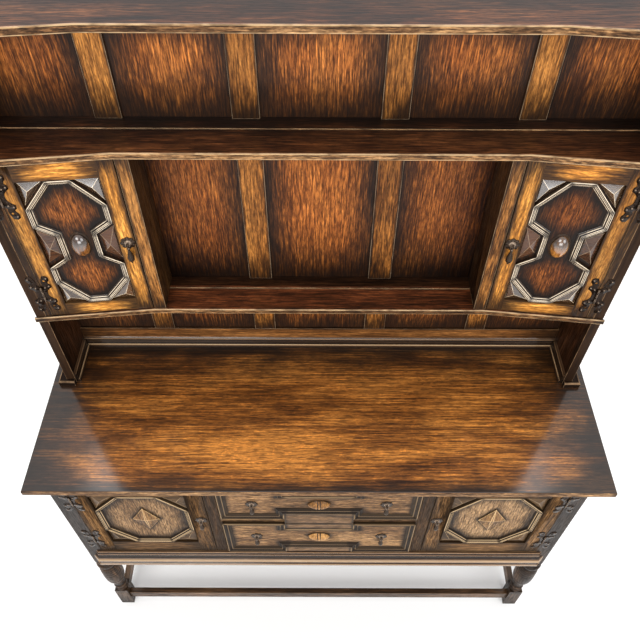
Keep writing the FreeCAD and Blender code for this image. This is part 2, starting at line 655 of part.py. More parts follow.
def frame_body(name, wide, low, top, stile_a, stile_b, rail_low, rail_top, thick, drop, sx, place):
    """Door frame: stiles and rails round an opening, grooved for its panel.
    Drawn on its own XZ plane with the hinge edge on X = 0, and sx = -1
    draws it to the left of that edge. Sizes are cell expressions."""
    b = body_of(name)
    s = "" if sx > 0 else "-"
    sk_ = outline(b, name + "_outline", "XZ_Plane",
                  [(0.0, low), ("%s(%s)" % (s, wide), low), ("%s(%s)" % (s, wide), top), (0.0, top)])
    add_rect(sk_, "%s(%s)" % (s, stile_a), "(%s) + (%s)" % (low, rail_low),
             "%s((%s) - (%s))" % (s, wide, stile_b), "(%s) - (%s)" % (top, rail_top))
    p = b.newObject("PartDesign::Pad", name + "_board")
    p.Profile = sk_
    p.setExpression("Length", expr(thick))
    p.Reversed = True
    doc.recompute()
    if p.Shape.BoundBox.YMax < 1.0:
        p.Reversed = False
        doc.recompute()
    v0 = p.Shape.Volume
    sk2 = outline(b, name + "_groove_line", "XZ_Plane",
                  [("%s((%s) - tongue)" % (s, stile_a), "(%s) + (%s) - tongue" % (low, rail_low)),
                   ("%s((%s) - (%s) + tongue)" % (s, wide, stile_b), "(%s) + (%s) - tongue" % (low, rail_low)),
                   ("%s((%s) - (%s) + tongue)" % (s, wide, stile_b), "(%s) - (%s) + tongue" % (top, rail_top)),
                   ("%s((%s) - tongue)" % (s, stile_a), "(%s) - (%s) + tongue" % (top, rail_top))],
                  off=-D["panel_drop"])
    sk2.setExpression("AttachmentOffset.Base.z", expr("-(%s)" % drop))
    q = b.newObject("PartDesign::Pocket", name + "_groove")
    q.Profile = sk2
    q.setExpression("Length", expr("panel_t"))
    doc.recompute()
    if q.Shape.Volume > v0 - 10:
        q.Reversed = True
        doc.recompute()
    assert q.Shape.Volume < v0 - 100, name
    bb = q.Shape.BoundBox
    assert abs(bb.YMin) < 1e-6 and bb.YMax > 1, name
    b.Placement = place
    doc.recompute()
    return b


def panel_board(name, wide, high, x0, z0, y0, place):
    """A thin board held in the grooves of its frame."""
    b = doc.addObject("Part::Box", name)
    b.Label = name
    b.setExpression("Length", expr(wide))
    b.setExpression("Width", expr("panel_t"))
    b.setExpression("Height", expr(high))
    b.Placement = place.multiply(Placement(V(x0, y0, z0), Rotation()))
    NODES.append(b)
    return b


def moved(shape, x, y, z):
    """A copy of a finished piece set down somewhere else."""
    s = shape.copy()
    s.Placement = Placement(V(x, y, z), Rotation()).multiply(shape.Placement)
    return s


def door_set(tag, place, wide_e, low_e, top_e, stile_a, stile_b, rail_low, rail_top,
             thick, drop, sx, ornament, hinge_z, pull_z, pull_x, pear):
    """One framed door with panel, ornament, ironwork and drop pull."""
    frame_body(tag + "_frame", wide_e, low_e, top_e, stile_a, stile_b, rail_low, rail_top, thick, drop, sx, place)
    w, lo, hi = number(wide_e), number(low_e), number(top_e)
    sa, sb, rl, rt, dr = number(stile_a), number(stile_b), number(rail_low), number(rail_top), number(drop)
    tg = D["tongue"]
    panel_board(tag + "_panel", "(%s) - (%s) - (%s) + 2 * tongue" % (wide_e, stile_a, stile_b),
                "(%s) - (%s) - (%s) - (%s) + 2 * tongue" % (top_e, low_e, rail_low, rail_top),
                min(sx * (sa - tg), sx * (w - sb + tg)), lo + rl - tg, dr, place)
    carved(tag + "_ornament", Part.makeCompound(ornament(sx, (sa + w - sb) / 2, (w - sa - sb) / 2,
                                                         (lo + rl + hi - rt) / 2, (hi - rt - lo - rl) / 2, dr)), place)
    iron, fixed = [], []
    for z in hinge_z:
        iron.append(moved(LEAVES[(sx, True)], -sx * AXIS_OUT, 0, z))
        fixed.append(moved(LEAVES[(-sx, False)], -sx * AXIS_OUT, 0, z))
    iron.append(moved(PLATE, sx * pull_x, 0, pull_z))
    carved(tag + "_iron", Part.makeCompound(iron), place)
    carved(tag + "_drop", moved(pear, sx * pull_x, 0, pull_z), place)
    for f in fixed:
        f.Placement = place.multiply(f.Placement)
    return fixed


FIXED = []


def base_ornament(sx, cx, hx, cz, hz, y0):
    """Octagonal moulding, a triangular pyramid in each corner, and a raised
    diamond in the middle."""
    cx *= sx
    fx, fz = 50.0 / 120.0 * hx, 59.0 / 140.0 * hz
    x1, z1 = hx - 0.4, hz - 0.4
    octo = [(cx - fx, cz - z1), (cx + fx, cz - z1), (cx + x1, cz - fz), (cx + x1, cz + fz),
            (cx + fx, cz + z1), (cx - fx, cz + z1), (cx - x1, cz + fz), (cx - x1, cz - fz)]
    out = [mitred(octo, section(y0))]
    for a in (-1, 1):
        for b in (-1, 1):
            tri = [(cx + a * (x1 - 0.6), cz + b * (z1 - 0.6)), (cx + a * (fx + 1.5), cz + b * (z1 - 0.6)),
                   (cx + a * (x1 - 0.6), cz + b * (fz + 2.0))]
            out.append(pyramid(tri, y0, 8.6))
    w, h = 36.0, 62.0
    base = [V(cx - w, y0, cz), V(cx, y0, cz - h), V(cx + w, y0, cz), V(cx, y0, cz + h)]
    low = [V(cx - w, y0 - 3.2, cz), V(cx, y0 - 3.2, cz - h), V(cx + w, y0 - 3.2, cz), V(cx, y0 - 3.2, cz + h)]
    tips = [V(cx - 3.0, y0 - 7.2, cz), V(cx + 3.0, y0 - 7.2, cz)]
    out.append(facets(base + low, tips,
                      [[0, 1, 2, 3], [0, 1, 5, 4], [1, 2, 6, 5], [2, 3, 7, 6], [3, 0, 4, 7],
                       [4, 5, 8], [5, 9, 8], [5, 6, 9], [6, 7, 9], [7, 8, 9], [7, 4, 8]]))
    return out


def cupboard_ornament(sx, cx, hx, cz, hz, y0):
    """Two octagons joined at a waist, pyramids in the corners and beside the
    waist, and an oval cabochon held by a ring."""
    cx *= sx
    x1, z1 = hx - 0.4, hz - 0.4
    k = hz / 171.0
    q = [(24.0, z1), (x1, 105 * k), (x1, 57 * k), (41.0, 31 * k)]
    right = [(x, z) for x, z in q] + [(x, -z) for x, z in reversed(q)]
    poly = [(cx + x, cz + z) for x, z in right] + [(cx - x, cz + z) for x, z in reversed(right)]
    out = [mitred(poly, section(y0, 0.9, 0.82))]
    for a in (-1, 1):
        for b in (-1, 1):
            tri = [(cx + a * (x1 - 0.8), cz + b * (z1 - 0.8)), (cx + a * 28.5, cz + b * (z1 - 0.8)),
                   (cx + a * (x1 - 0.8), cz + b * (105 * k + 6.0))]
            out.append(pyramid(tri, y0, 9.5))
        tz = [(cx + a * (x1 - 0.8), cz - 50 * k), (cx + a * 43.5, cz - 27 * k), (cx + a * 43.5, cz + 27 * k),
              (cx + a * (x1 - 0.8), cz + 50 * k)]
        out.append(pyramid(tz, y0, 10.0))
    ring = dome(cx, cz, y0, 23.0, 34.0, 4.0)
    boss = dome(cx, cz, y0, 20.0, 31.0, 17.5)
    out.append(ring.fuse(boss))
    return out


for side, tag in ((-1, "left"), (1, "right")):
    sx = -side
    z_off = ZO
    place = Placement(V(side * D["door_out"], D["case_front"] + YO, z_off), Rotation())
    FIXED += door_set("base_door_" + tag, place, "door_out - door_in", "door_low", "door_top",
                      "base_stile", "base_stile", "base_rail_w", "base_rail_w", "door_thick", "panel_drop",
                      sx, base_ornament, (-128.0, -362.0), -236.0, D["door_out"] - D["door_in"] - 18.5, DROP)
for side, tag in ((-1, "left"), (1, "right")):
    sx = -side
    c, s_ = math.cos(math.radians(ang)), math.sin(math.radians(ang))
    u = D["cup_out"]
    place = Placement(V(side * (D["bend_x"] + u * c), D["plane_bend"] - u * s_ + YO, ZO),
                      Rotation(V(0, 0, 1), -side * ang))
    FIXED += door_set("cupboard_door_" + tag, place, "cup_out - cup_in", "cup_low", "cup_top",
                      "cup_stile + 3", "cup_stile", "cup_rail_low", "cup_rail_top", "cup_thick", "panel_drop - 1",
                      sx, cupboard_ornament, (339.0, 612.0), 474.0, D["cup_out"] - D["cup_in"] - 15.0, CUP_DROP)
carved("hinge_leaves", Part.makeCompound(FIXED), Placement())

# ------------------------------------------------------------------ drawers


SEC_D = [(0, 0), (0, -6.8), (1.2, -7.8), (3.4, -7.8), (4.8, -6.0), (7.6, -3.9), (10.6, -3.6), (11.6, -4.8),
         (13.6, -4.8), (14.6, -3.8), (17.6, -2.1), (21.2, -1.2), (21.2, 0)]


def almond(cz, a, b, high):
    """A split turning with pointed ends, lying along X: two upright arcs give
    its outline, a roll its section and a bow its fall towards the ends."""
    r = (a * a + b * b) / (2 * b)
    s = Part.makeCylinder(r, 40, V(0, 20, cz - r + b), V(0, -1, 0)).common(
        Part.makeCylinder(r, 40, V(0, 20, cz + r - b), V(0, -1, 0)))
    q = (b * b + high * high) / (2 * high)
    s = s.common(Part.makeCylinder(q, 4 * a, V(-2 * a, q - high, cz), V(1, 0, 0)))
    fall = high - 2.0
    q = (a * a + fall * fall) / (2 * fall)
    s = s.common(Part.makeCylinder(q, 4 * b, V(0, q - high, cz - 2 * b), V(0, 0, 1)))
    s = s.common(Part.makeBox(4 * a, 40, 4 * b, V(-2 * a, -40, cz - 2 * b)))
    for x in (-4.2, 2.6):
        s = s.cut(Part.makeBox(1.6, 4.0, 4 * b, V(x, -high - 2.4, cz - 2 * b)))
    return s


def drawer_ornament(lo, hi, zc, oh, ends, cz):
    """Frame moulding whose top and bottom step inward over the middle, blocks
    that fill the steps, and a split turning across the centre. lo and hi are
    the drawer's own edges, zc and oh the middle and half height of the frame,
    ends where the blocks stop and cz the height of the turning."""
    step, sx, ow = 31.0, 91.0, D["drw_half"] - 3.0
    poly = [(ow, -oh), (ow, oh), (sx, oh), (sx, oh - step), (-sx, oh - step), (-sx, oh), (-ow, oh),
            (-ow, -oh), (-sx, -oh), (-sx, -oh + step), (sx, -oh + step), (sx, -oh)]
    out = [mitred([(x, z + zc) for x, z in poly], SEC_D)]
    for z0_, z1_ in ((ends[0], zc - oh + step - 0.5), (zc + oh - step + 0.5, ends[1])):
        out.append(Part.makeBox(2 * sx - 1.0, 6.2, z1_ - z0_, V(-sx + 0.5, -6.2, z0_)))
    out.append(almond(cz, 30.0, 19.5, 13.0))
    return out


DRAWER_PLAN = {"upper": (-136.0, 81.0, (-244.2, -46.8), -140.0, -140.0),
               "lower": (-341.0, 93.0, (-433.5, -247.0), -337.0, -338.0)}
for tag, low in (("upper", "drw_u_low"), ("lower", "drw_l_low")):
    lo = D[low]
    hi = lo + D["drw_high"]
    box("drawer_%s_front" % tag, "-drw_half", "drw_half", "case_front", "case_front + drw_front_t",
        low, "%s + drw_high" % low)
    y0, y1 = "case_front + drw_front_t", "box_back"
    z0e, z1e = "%s + box_low_gap" % low, "%s + drw_high - box_top_gap" % low
    group("drawer_%s_box" % tag, [
        box("drawer_%s_side_l" % tag, "-box_half", "-box_half + box_wall", y0, y1, z0e, z1e, node=False),
        box("drawer_%s_side_r" % tag, "box_half - box_wall", "box_half", y0, y1, z0e, z1e, node=False),
        box("drawer_%s_tail" % tag, "-box_half + box_wall", "box_half - box_wall",
            "box_back - box_wall", y1, "%s + 12" % z0e, z1e, node=False),
        box("drawer_%s_base" % tag, "-box_half + box_wall", "box_half - box_wall",
            y0, y1, "%s + 6" % z0e, "%s + 12" % z0e, node=False)])
    place = Placement(V(0, D["case_front"] + YO, ZO), Rotation())
    zc, oh, ends, bz, pz = DRAWER_PLAN[tag]
    carved("drawer_%s_ornament" % tag, Part.makeCompound(drawer_ornament(lo, hi, zc, oh, ends, bz)), place)
    plates = []
    for side, st in ((-1, "left"), (1, "right")):
        plates.append(moved(PLATE, side * 171.5, 0, pz))
        carved("drawer_%s_drop_%s" % (tag, st), moved(DROP, side * 171.5, 0, pz), place)
    carved("drawer_%s_plates" % tag, Part.makeCompound(plates), place)

sheet.clear("D1")
doc.recompute()

# ------------------------------------------------------------ check and write
bad = []
for o in doc.Objects:
    if "Invalid" in o.State or "Error" in o.State:
        bad.append((o.Name, o.State))
lo, hi = V(1e9, 1e9, 1e9), V(-1e9, -1e9, -1e9)
for o in NODES:
    sh = o.Shape
    if sh.isNull() or not sh.isValid() or sh.Volume <= 0:
        bad.append((o.Label, "shape", sh.isNull(), sh.isValid() if not sh.isNull() else None))
        continue
    bb = sh.BoundBox
    lo = V(min(lo.x, bb.XMin), min(lo.y, bb.YMin), min(lo.z, bb.ZMin))
    hi = V(max(hi.x, bb.XMax), max(hi.y, bb.YMax), max(hi.z, bb.ZMax))
print("nodes", len(NODES), "box", lo, hi)
for b in bad:
    print("BAD", b)
if bad:
    raise SystemExit("shapes to repair: %d" % len(bad))
for o in NODES:
    o.Shape.exportStep(os.path.join("parts", o.Label + ".step"))
print("written", len(NODES))
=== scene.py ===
import json
import math

import bmesh
import bpy
import numpy as np
from mathutils import Matrix, Vector

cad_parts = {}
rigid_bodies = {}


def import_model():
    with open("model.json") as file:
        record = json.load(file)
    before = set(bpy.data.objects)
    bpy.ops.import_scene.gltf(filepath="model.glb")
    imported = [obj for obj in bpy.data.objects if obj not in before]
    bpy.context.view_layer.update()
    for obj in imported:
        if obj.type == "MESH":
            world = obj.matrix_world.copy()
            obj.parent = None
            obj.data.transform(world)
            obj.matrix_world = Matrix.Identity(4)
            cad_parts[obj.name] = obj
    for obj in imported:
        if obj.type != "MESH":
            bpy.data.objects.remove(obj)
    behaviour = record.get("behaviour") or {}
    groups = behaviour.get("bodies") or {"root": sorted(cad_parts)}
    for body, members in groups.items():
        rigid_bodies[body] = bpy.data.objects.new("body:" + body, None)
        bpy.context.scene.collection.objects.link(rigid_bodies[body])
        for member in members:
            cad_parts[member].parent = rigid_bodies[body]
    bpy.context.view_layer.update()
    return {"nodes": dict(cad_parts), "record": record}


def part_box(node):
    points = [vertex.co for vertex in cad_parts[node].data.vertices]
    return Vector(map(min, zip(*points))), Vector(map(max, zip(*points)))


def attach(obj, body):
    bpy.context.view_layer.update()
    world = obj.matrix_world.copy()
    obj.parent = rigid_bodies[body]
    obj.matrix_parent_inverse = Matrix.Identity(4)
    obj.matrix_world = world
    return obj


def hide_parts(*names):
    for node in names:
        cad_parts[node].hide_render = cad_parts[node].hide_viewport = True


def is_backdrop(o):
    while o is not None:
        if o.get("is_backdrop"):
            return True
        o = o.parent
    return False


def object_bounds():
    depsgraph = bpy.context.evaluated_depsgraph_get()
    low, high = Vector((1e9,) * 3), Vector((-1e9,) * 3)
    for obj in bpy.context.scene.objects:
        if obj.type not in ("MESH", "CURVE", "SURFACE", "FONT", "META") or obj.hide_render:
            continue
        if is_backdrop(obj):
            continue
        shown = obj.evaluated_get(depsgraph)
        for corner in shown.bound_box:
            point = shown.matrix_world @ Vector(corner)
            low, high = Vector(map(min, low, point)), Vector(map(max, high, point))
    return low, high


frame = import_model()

N = frame["nodes"]
BODY_OF = {n: b for b, ns in frame["record"]["behaviour"]["bodies"].items() for n in ns}
SLOT_OF = {r["node"]: r["material_slot"] for r in frame["record"]["subparts"]}
scene = bpy.context.scene

# --------------------------------------------------------------- datum, in mm
# X right, Y back from the rack's panels, Z up from the worktop's top face
YO, ZO = 217.0, 905.0
ANG = math.degrees(math.atan2(30.0, 274.0))
CA, SA = math.cos(math.radians(ANG)), math.sin(math.radians(ANG))


def door_place(kind, side):
    """Matrix from a door's own frame (hinge edge on X = 0, datum mm) to the world in metres."""
    if kind == "base":
        t, r = (side * 626.0, -409.0), 0.0
    elif kind == "drawer":
        t, r = (0.0, -409.0), 0.0
    else:
        t, r = (side * (387.0 + 235.0 * CA), -105.0 - 235.0 * SA), -side * ANG
    m = Matrix.Translation((t[0] / 1000, (t[1] + YO) / 1000, ZO / 1000)) @ Matrix.Rotation(math.radians(r), 4, "Z")
    return m @ Matrix.Scale(0.001, 4)


# ------------------------------------------------------------- node materials


class Net:
    """Short hand for building a node tree."""

    def __init__(self, name):
        self.mat = bpy.data.materials.new(name)
        self.mat.use_nodes = True
        self.t = self.mat.node_tree
        self.t.nodes.clear()
        self.out = self.t.nodes.new("ShaderNodeOutputMaterial")
        self.bsdf = self.t.nodes.new("ShaderNodeBsdfPrincipled")
        self.t.links.new(self.bsdf.outputs[0], self.out.inputs[0])

    def put(self, sock, v):
        if isinstance(v, bpy.types.NodeSocket):
            self.t.links.new(v, sock)
        elif v is not None:
            sock.default_value = v

    def attr(self, name, out="Vector"):
        n = self.t.nodes.new("ShaderNodeAttribute")
        n.attribute_name = name
        return n.outputs[out]

    def m(self, op, a, b=None, c=None, clamp=False):
        n = self.t.nodes.new("ShaderNodeMath")
        n.operation, n.use_clamp = op, clamp
        for i, v in enumerate((a, b, c)):
            self.put(n.inputs[i], v)
        return n.outputs[0]

    def v(self, op, a, b=None, scale=None):
        n = self.t.nodes.new("ShaderNodeVectorMath")
        n.operation = op
        self.put(n.inputs[0], a)
        self.put(n.inputs[1], b)
        if scale is not None:
            self.put(n.inputs["Scale"], scale)
        return n.outputs["Value"] if op in ("LENGTH", "DISTANCE", "DOT_PRODUCT") else n.outputs["Vector"]

    def sep(self, a):
        n = self.t.nodes.new("ShaderNodeSeparateXYZ")
        self.put(n.inputs[0], a)
        return n.outputs

    def comb(self, x, y, z):
        n = self.t.nodes.new("ShaderNodeCombineXYZ")
        for i, v in enumerate((x, y, z)):
            self.put(n.inputs[i], v)
        return n.outputs[0]

    def noise(self, vec, scale=1.0, detail=2.0, rough=0.5, dist=0.0):
        n = self.t.nodes.new("ShaderNodeTexNoise")
        self.put(n.inputs["Vector"], vec)
        for k, v in (("Scale", scale), ("Detail", detail), ("Roughness", rough), ("Distortion", dist)):
            self.put(n.inputs[k], v)
        return n.outputs["Fac"]

    def rng(self, a, lo, hi, to0=0.0, to1=1.0, smooth=True):
        n = self.t.nodes.new("ShaderNodeMapRange")
        n.interpolation_type = "SMOOTHSTEP" if smooth else "LINEAR"
        n.clamp = True
        for i, v in enumerate((a, lo, hi, to0, to1)):
            self.put(n.inputs[i], v)
        return n.outputs[0]

    def mix(self, f, a, b, kind="MIX"):
        n = self.t.nodes.new("ShaderNodeMix")
        n.data_type, n.blend_type, n.clamp_factor = "RGBA", kind, True
        self.put(n.inputs[0], f)
        for s, v in ((n.inputs[6], a), (n.inputs[7], b)):
            self.put(s, (*v, 1.0) if isinstance(v, tuple) and len(v) == 3 else v)
        return n.outputs[2]

    def ramp(self, f, stops):
        n = self.t.nodes.new("ShaderNodeValToRGB")
        r = n.color_ramp
        while len(r.elements) > 1:
            r.elements.remove(r.elements[-1])
        r.elements[0].position, r.elements[0].color = stops[0][0], (*stops[0][1], 1.0)
        for p, c in stops[1:]:
            r.elements.new(p).color = (*c, 1.0)
        self.put(n.inputs[0], f)
        return n.outputs[0]

    def bump(self, h, strength, distance):
        n = self.t.nodes.new("ShaderNodeBump")
        n.inputs["Strength"].default_value = strength
        n.inputs["Distance"].default_value = distance
        self.put(n.inputs["Height"], h)
        self.t.links.new(n.outputs[0], self.bsdf.inputs["Normal"])


def lin(r, g, b):
    """sRGB bytes to linear."""
    f = lambda c: (c / 255 / 12.92) if c / 255 <= 0.04045 else ((c / 255 + 0.055) / 1.055) ** 2.4
    return (f(r), f(g), f(b))


BLACK = lin(22, 15, 11)


def oak(name, dark, mid, light, w_along=0.05, w_across=0.03, edge=0.9, pore=0.6, fleck=0.0, rough=0.42,
        coat=0.15, coat_rough=0.16, coat_ior=1.5, spec=0.28, arris=lin(170, 135, 95), arris_amt=0.5, relief=None, tint=0.10, comb=0.0,
        gs=(4.5, 75.0), gm=(13.0, 210.0), gc=(75.0, 280.0), big=0.45, nose=lin(150, 95, 52), black=BLACK, fine=1.0, bump=0.30, wander=1.0, streak=0.22):
    """Stained and polished oak. Reads the board's own coordinates: loc (along, across, through, metres from
    the board's middle), half (its half sizes) and tag (seed, arris, relief). A border width is one number, or
    a pair for the low and the high end."""
    g = Net(name)
    loc, half, tag = g.attr("loc"), g.attr("half"), g.attr("tag")
    seed, ar, rel = g.sep(tag)[0], g.sep(tag)[1], g.sep(tag)[2]
    p = g.v("ADD", loc, g.comb(g.m("MULTIPLY", seed, 17.3), g.m("MULTIPLY", seed, 9.1), g.m("MULTIPLY", seed, 4.7)))
    n_big = g.noise(g.v("MULTIPLY", p, (2.6, 9.0, 9.0)), 1.0, 4.0, 0.55, 0.6)
    n_str = g.noise(g.v("MULTIPLY", p, (gs[0], gs[1], gs[1])), 1.0, 4.0, 0.62, 0.2)
    n_mid = g.noise(g.v("MULTIPLY", p, (gm[0], gm[1], gm[1])), 1.0, 3.0, 0.6, 0.1)
    n_fin = g.noise(g.v("MULTIPLY", p, (22.0, 520.0, 520.0)), 1.0, 3.0, 0.65)
    n_cut = g.noise(g.v("MULTIPLY", p, (30.0, 340.0, 340.0)), 1.0, 2.0, 0.6)
    t = g.m("ADD", g.m("MULTIPLY", n_big, big), g.m("ADD", g.m("MULTIPLY", n_str, streak),
                                                    g.m("MULTIPLY", n_mid, 1.0 - big - streak)))
    t = g.m("ADD", t, g.m("MULTIPLY", g.m("SUBTRACT", g.m("FRACT", g.m("MULTIPLY", seed, 7.13)), 0.5), tint))
    col = g.ramp(t, ((0.38, dark), (0.50, mid), (0.61, light)))
    # fine grain lines and open pores
    col = g.mix(g.m("MULTIPLY", g.rng(n_mid, 0.48, 0.62), 0.45 * fine), col, g.mix(1.0, col, (1.6, 1.52, 1.4), "MULTIPLY"))
    col = g.mix(g.m("MULTIPLY", g.rng(n_fin, 0.46, 0.60), 0.45 * fine), col, g.mix(1.0, col, (1.6, 1.55, 1.4), "MULTIPLY"))
    col = g.mix(g.m("MULTIPLY", g.rng(n_cut, 0.52, 0.41), pore), col, g.mix(1.0, col, (0.10, 0.08, 0.075), "MULTIPLY"))
    if comb:
        n_cmb = g.noise(g.v("MULTIPLY", p, (gc[0], gc[1], gc[1])), 1.0, 3.0, 0.65)
        col = g.mix(g.m("MULTIPLY", g.rng(n_cmb, 0.55, 0.40), comb), col, g.mix(1.0, col, (0.22, 0.17, 0.15), "MULTIPLY"))
        col = g.mix(g.m("MULTIPLY", g.rng(n_cmb, 0.54, 0.68), comb), col, g.mix(1.0, col, (1.5, 1.5, 1.45), "MULTIPLY"))
    if fleck:
        w = g.noise(g.v("MULTIPLY", p, (9.0, 26.0, 26.0)), 1.0, 2.0, 0.5, 1.2)
        f = g.noise(g.v("ADD", g.v("MULTIPLY", p, (95.0, 150.0, 60.0)), g.comb(g.m("MULTIPLY", w, 7.0), 0.0, 0.0)), 1.0, 1.0)
        f = g.m("MULTIPLY", g.rng(f, 0.55, 0.64), g.rng(w, 0.40, 0.58))
        col = g.mix(g.m("MULTIPLY", f, fleck), col, g.mix(1.0, col, (1.8, 1.7, 1.5), "MULTIPLY"))
    # stain and polish built up towards the borders, partly painted shade where boards meet their neighbours
    d = g.m("MULTIPLY", g.m("SUBTRACT", g.noise(g.v("MULTIPLY", p, (8.0, 17.0, 17.0)), 1.0, 4.0, 0.6), 0.5), 1.25 * wander)
    d = g.m("ADD", d, g.m("MULTIPLY", g.m("SUBTRACT", n_mid, 0.5), 0.45))
    lx, hx = g.sep(loc), g.sep(half)
    keep = None
    for i, w in ((0, w_along), (1, w_across)):
        w0, w1 = w if isinstance(w, tuple) else (w, w)
        for width, gap in ((w0, g.m("ADD", hx[i], lx[i])), (w1, g.m("SUBTRACT", hx[i], lx[i]))):
            if width:
                e = g.rng(g.m("ADD", g.m("DIVIDE", gap, width), d), 0.0, 1.10)
                keep = e if keep is None else g.m("MULTIPLY", keep, e)
    shade = g.m("MULTIPLY", g.m("SUBTRACT", 1.0, keep), edge)
    lift = g.m("MAXIMUM", rel, 0.0)
    deep = lift if relief == "dark" else g.m("MAXIMUM", g.m("MULTIPLY", rel, -1.0), 0.0)
    if relief in ("dark", "nose"):
        shade = g.m("MAXIMUM", shade, g.m("SUBTRACT", deep, g.m("MULTIPLY", d, g.m("MULTIPLY", deep, 0.6)), clamp=True))
    col = g.mix(shade, col, black)
    # tone: lightens or darkens whole boards; painted light and shade on the back boards and stretcher, stain tone on
    # the door frames
    if relief == "tone":
        col = g.mix(deep, col, g.mix(1.0, col, (0.30, 0.27, 0.26), "MULTIPLY"))
        col = g.mix(lift, col, g.mix(1.0, col, (1.9, 1.9, 1.9), "MULTIPLY"))
    # nose: front faces lightened to the nose colour, wear with a painted highlight
    if relief == "nose":
        col = g.mix(g.m("MULTIPLY", lift, g.rng(n_str, 0.35, 0.6, 0.30, 0.95)), col, nose)
    # pale on the crests (wear with a painted highlight), dark in the grooves (painted shade)
    if relief == "wear_and_shade":
        prof = g.ramp(g.m("ADD", lift, g.m("MULTIPLY", g.m("SUBTRACT", n_str, 0.5), 0.10)),
                      ((0.0, black), (0.32, dark), (0.60, mid), (0.84, light), (0.97, arris)))
        col = g.mix(0.90, col, g.mix(shade, prof, black))
    worn = g.rng(g.noise(g.v("MULTIPLY", p, (30.0, 60.0, 60.0)), 1.0, 2.0), 0.35, 0.6, 0.35, 1.0)
    col = g.mix(g.m("MULTIPLY", g.m("MULTIPLY", ar, worn), arris_amt), col, arris)
    g.put(g.bsdf.inputs["Base Color"], col)
    g.put(g.bsdf.inputs["Roughness"], g.rng(n_cut, 0.38, 0.6, rough + 0.14, rough - 0.05))
    g.bsdf.inputs["Specular IOR Level"].default_value = spec
    g.bsdf.inputs["Coat Weight"].default_value = coat
    g.bsdf.inputs["Coat Roughness"].default_value = coat_rough
    g.bsdf.inputs["Coat IOR"].default_value = coat_ior
    h = g.m("ADD", g.m("MULTIPLY", g.rng(n_cut, 0.38, 0.52), 0.6), g.m("MULTIPLY", n_mid, 0.6))
    g.bump(h, bump, 0.0006)
    return g.mat


def iron():
    """Forged iron, dark brown, brighter by the third number of tag: rubbed wear with a painted highlight on nail heads
    and raised parts, and a painted highlight on the drops' upward faces.
    """
    g = Net("iron_dark")
    tc = g.t.nodes.new("ShaderNodeTexCoord").outputs["Object"]
    rel = g.sep(g.attr("tag"))[2]
    a = g.noise(tc, 380.0, 4.0, 0.6)
    b = g.noise(tc, 1500.0, 3.0, 0.6)
    col = g.ramp(a, ((0.34, lin(20, 14, 10)), (0.52, lin(36, 26, 19)), (0.70, lin(60, 45, 34))))
    col = g.mix(g.m("MULTIPLY", rel, g.rng(b, 0.3, 0.6, 0.5, 1.0)), col, lin(150, 130, 112))
    g.put(g.bsdf.inputs["Base Color"], col)
    g.bsdf.inputs["Metallic"].default_value = 0.65
    g.bsdf.inputs["Specular IOR Level"].default_value = 0.18
    g.put(g.bsdf.inputs["Roughness"], g.rng(b, 0.3, 0.7, 0.18, 0.36))
    g.bump(g.m("ADD", g.m("MULTIPLY", a, 0.7), g.m("MULTIPLY", b, 0.3)), 0.5, 0.0006)
    return g.mat


M = {}
# worktop: the wide dark band along the back is painted shade and reflection of the rack; darker also towards the ends
M["top"] = oak("oak_worktop", lin(54, 29, 12), lin(122, 74, 31), lin(186, 122, 56), w_along=0.22, w_across=(0.045, 0.185),
               edge=0.95, pore=0.60, fleck=0.45, rough=0.40, coat=0.85, coat_rough=0.13, coat_ior=1.5, relief="nose",
               nose=lin(122, 84, 52), big=0.56, streak=0.14, gs=(2.2, 60.0), gm=(5.0, 230.0), comb=0.30, arris=lin(186, 142, 100), arris_amt=0.75, spec=0.2, bump=0.22)
M["panel"] = oak("oak_panel", lin(110, 57, 21), lin(155, 89, 38), lin(192, 119, 54), w_along=(0.16, 0.08), w_across=0.078,
                 edge=0.965, pore=0.50, rough=0.42, coat=0.08, coat_rough=0.20, arris_amt=0.2, big=0.36, streak=0.10,
                 gs=(6.0, 70.0), gm=(18.0, 270.0), gc=(60.0, 350.0), wander=0.35,
                 tint=0.03, relief="tone", comb=0.62, spec=0.10)
M["door_panel"] = oak("oak_door_panel", lin(76, 37, 14), lin(110, 61, 24), lin(138, 81, 35), w_along=0.02, w_across=0.02,
                      edge=0.6, pore=0.5, relief="dark", rough=0.38, coat=0.06, coat_rough=0.20, arris_amt=0.0, spec=0.10,
                      big=0.36, streak=0.06, gs=(8.0, 60.0), gm=(24.0, 280.0), gc=(60.0, 330.0), comb=0.75)
M["base_panel"] = oak("oak_base_panel", lin(92, 68, 44), lin(126, 98, 68), lin(154, 124, 90), w_along=0.02, w_across=0.02,
                      edge=0.6, pore=0.45, relief="dark", rough=0.42, coat=0.03, coat_rough=0.20, arris_amt=0.0, spec=0.08,
                      big=0.46, streak=0.08, gs=(8.0, 60.0), gm=(30.0, 250.0), comb=0.48)
M["muntin"] = oak("oak_muntin", lin(84, 48, 18), lin(138, 87, 38), lin(176, 118, 56), w_along=(0.085, 0.03),
                  w_across=0.007, edge=0.93, pore=0.55, rough=0.42, arris=lin(176, 150, 120), arris_amt=0.6, relief="tone",
                  comb=0.40, spec=0.10, coat=0.08, coat_rough=0.20, gm=(18.0, 240.0), streak=0.12)
M["stile"] = oak("oak_stile", lin(122, 74, 27), lin(174, 115, 47), lin(208, 149, 72), w_along=0.065, w_across=0.010,
                 edge=0.92, pore=0.45, rough=0.40, arris=lin(170, 136, 96), arris_amt=0.35, tint=0.04, relief="tone",
                 comb=0.42, spec=0.10, coat=0.08, coat_rough=0.20, wander=1.1, gm=(22.0, 260.0), streak=0.12)
